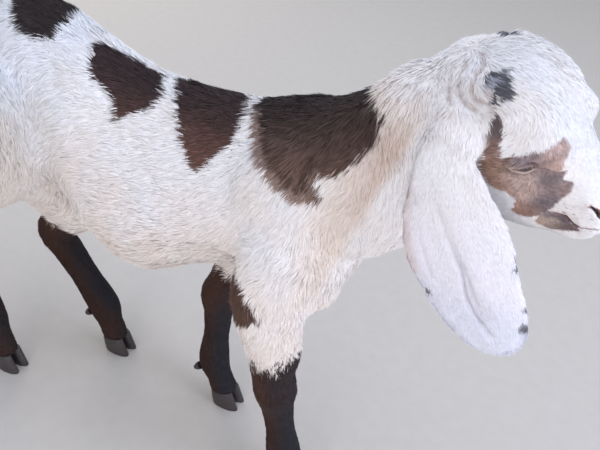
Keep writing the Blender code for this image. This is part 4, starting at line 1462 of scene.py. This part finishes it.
def paintSkin(mesh, places, laid, isEar, legIndex):
    # The skin wears the coat's markings and painted shade, and its bare places their own colours and painted
    # shade
    colour, dark = markingsAndShade(places, isEar, legIndex)
    pink = mix(colour, hexColour("#f0d8cc"), 0.15 * (1 - dark))
    paint = {"colour": np.where(dark[:, None] > 0.5, colour * 0.8, pink)}
    bare = np.zeros(len(places))
    for side in (-1, 1):
        # Pale lid rims with a dark line at the lashes, painted shade in the creases beyond, and painted
        # shade in the slit
        _, far, _, a, b = eyeAngles(places, side)
        near = (far < 0.0165) & (np.abs(a) < 1.2)
        beyond = beyondLids(a, b, 1.1)
        rimShare = ramp(0.19 - beyond, 0.0, 0.06) * near * 0.85
        tone = np.where((b < 0)[:, None], hexColour("#c9b1a8"), hexColour("#a08a86"))
        paint["colour"] = mix(paint["colour"], tone, rimShare)
        lash = ramp(0.040 - np.abs(beyond), 0, 0.03) * near
        wash(paint, "#41322f", lash * np.where(b < 0, 0.8, 0.9))
        for middle in (0.26, 0.46):
            wash(paint, "#5a4844", np.exp(-((beyond - middle) / 0.04) ** 2) * near * 0.6)
        wash(paint, "#2a2020", ramp(-beyond, 0.03, 0.06) * near)
        bare = np.maximum(bare, rimShare)
        # Nostril: pink rim, then painted shade darkening towards the slit
        line, along = lineDistance(laid, hugged(nostrilLine, side, faceCoat[0]))
        width = nostrilWidth(along)
        pinkShare = ramp(width + 0.0026 - line, 0, 0.0012)
        wash(paint, "#c9a198", pinkShare * 0.8)
        wash(paint, "#7a5a5b", ramp(width + 0.0007 - line, 0, 0.0007))
        wash(paint, "#3a2527", ramp(width + 0.0001 - line, 0, 0.0006))
        bare = np.maximum(bare, pinkShare)
        # Mouth: pink lip edge and a dark line of painted shade in the crease
        line, _ = lineDistance(laid, hugged(mouthLine, side, faceCoat[0]))
        wash(paint, "#b08c84", ramp(0.0024 - line, 0, 0.0010) * 0.6)
        wash(paint, "#4a3736", ramp(0.0009 - line, 0, 0.0006) * 0.85)
    line, _ = lineDistance(laid, hugged(philtrum, 1, faceCoat[0]))
    wash(paint, "#c39c93", ramp(0.0026 - line, 0, 0.0014) * 0.8)
    layer = mesh.attributes.new("coatColour", "FLOAT_COLOR", "POINT")
    tints = np.ones((len(places), 4), np.float32)
    tints[:, :3] = np.clip(paint["colour"], 0, 1)
    layer.data.foreach_set("color", tints.ravel())
    layer = mesh.attributes.new("bareSkin", "FLOAT", "POINT")
    layer.data.foreach_set("value", bare.astype(np.float32))


# Making

addCamera()
addLights()
addFloor()
print("camera, light and floor made")

ears = {-1: earShape("ear_right"), 1: earShape("ear_left")}
skin = skinBase(ears)
places, corners = meshArrays(skin.data)
pairs = edgePairs(corners)
print("skin melted,", len(corners), "triangles")

owner = nearestNode(places)
isEar = spread((np.char.startswith(np.array(flesh), "ear")[owner]).astype(float), pairs, 2)
legIndex = owner.copy()
fields = coatFields(owner, places, pairs, ears)
low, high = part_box("eye_right")
eyeRadius = (high[0] - low[0]) / 2
places, laid = sculpt(places, corners, pairs, isEar, fields[:, 0], eyeRadius)
places, foldShade = sculptEars(places, isEar, ears)
skin.data.vertices.foreach_set("co", places.astype(np.float32).ravel())
skin.data.update()
shadeSmooth(skin.data)
normals = pointNormals(places, corners)
print("skin sculpted")

smoothNormals = unit(spread(normals, pairs, 3))
flow, sure = lieField(places, smoothNormals, pairs, isEar, ears)
paintSkin(skin.data, places, laid, isEar, legIndex)
skin.data.materials.append(skinMaterial())
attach(skin, "root")
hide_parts(*flesh)
unwrapped = unwrapTree(skin)
print("skin painted and unwrapped")

hair = hairMaterial()
for piece in growCoat(places, laid, foldShade, corners, smoothNormals, flow, sure, fields, owner, isEar,
                      legIndex, unwrapped, hair):
    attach(piece, "root")
print("coat grown")

for side, word in ((-1, "right"), (1, "left")):
    radius = addEye(side, word)
    addLashes(side, word, radius, hair)
refineHorn(hornMaterial())
print("eyes, lashes and hooves made")
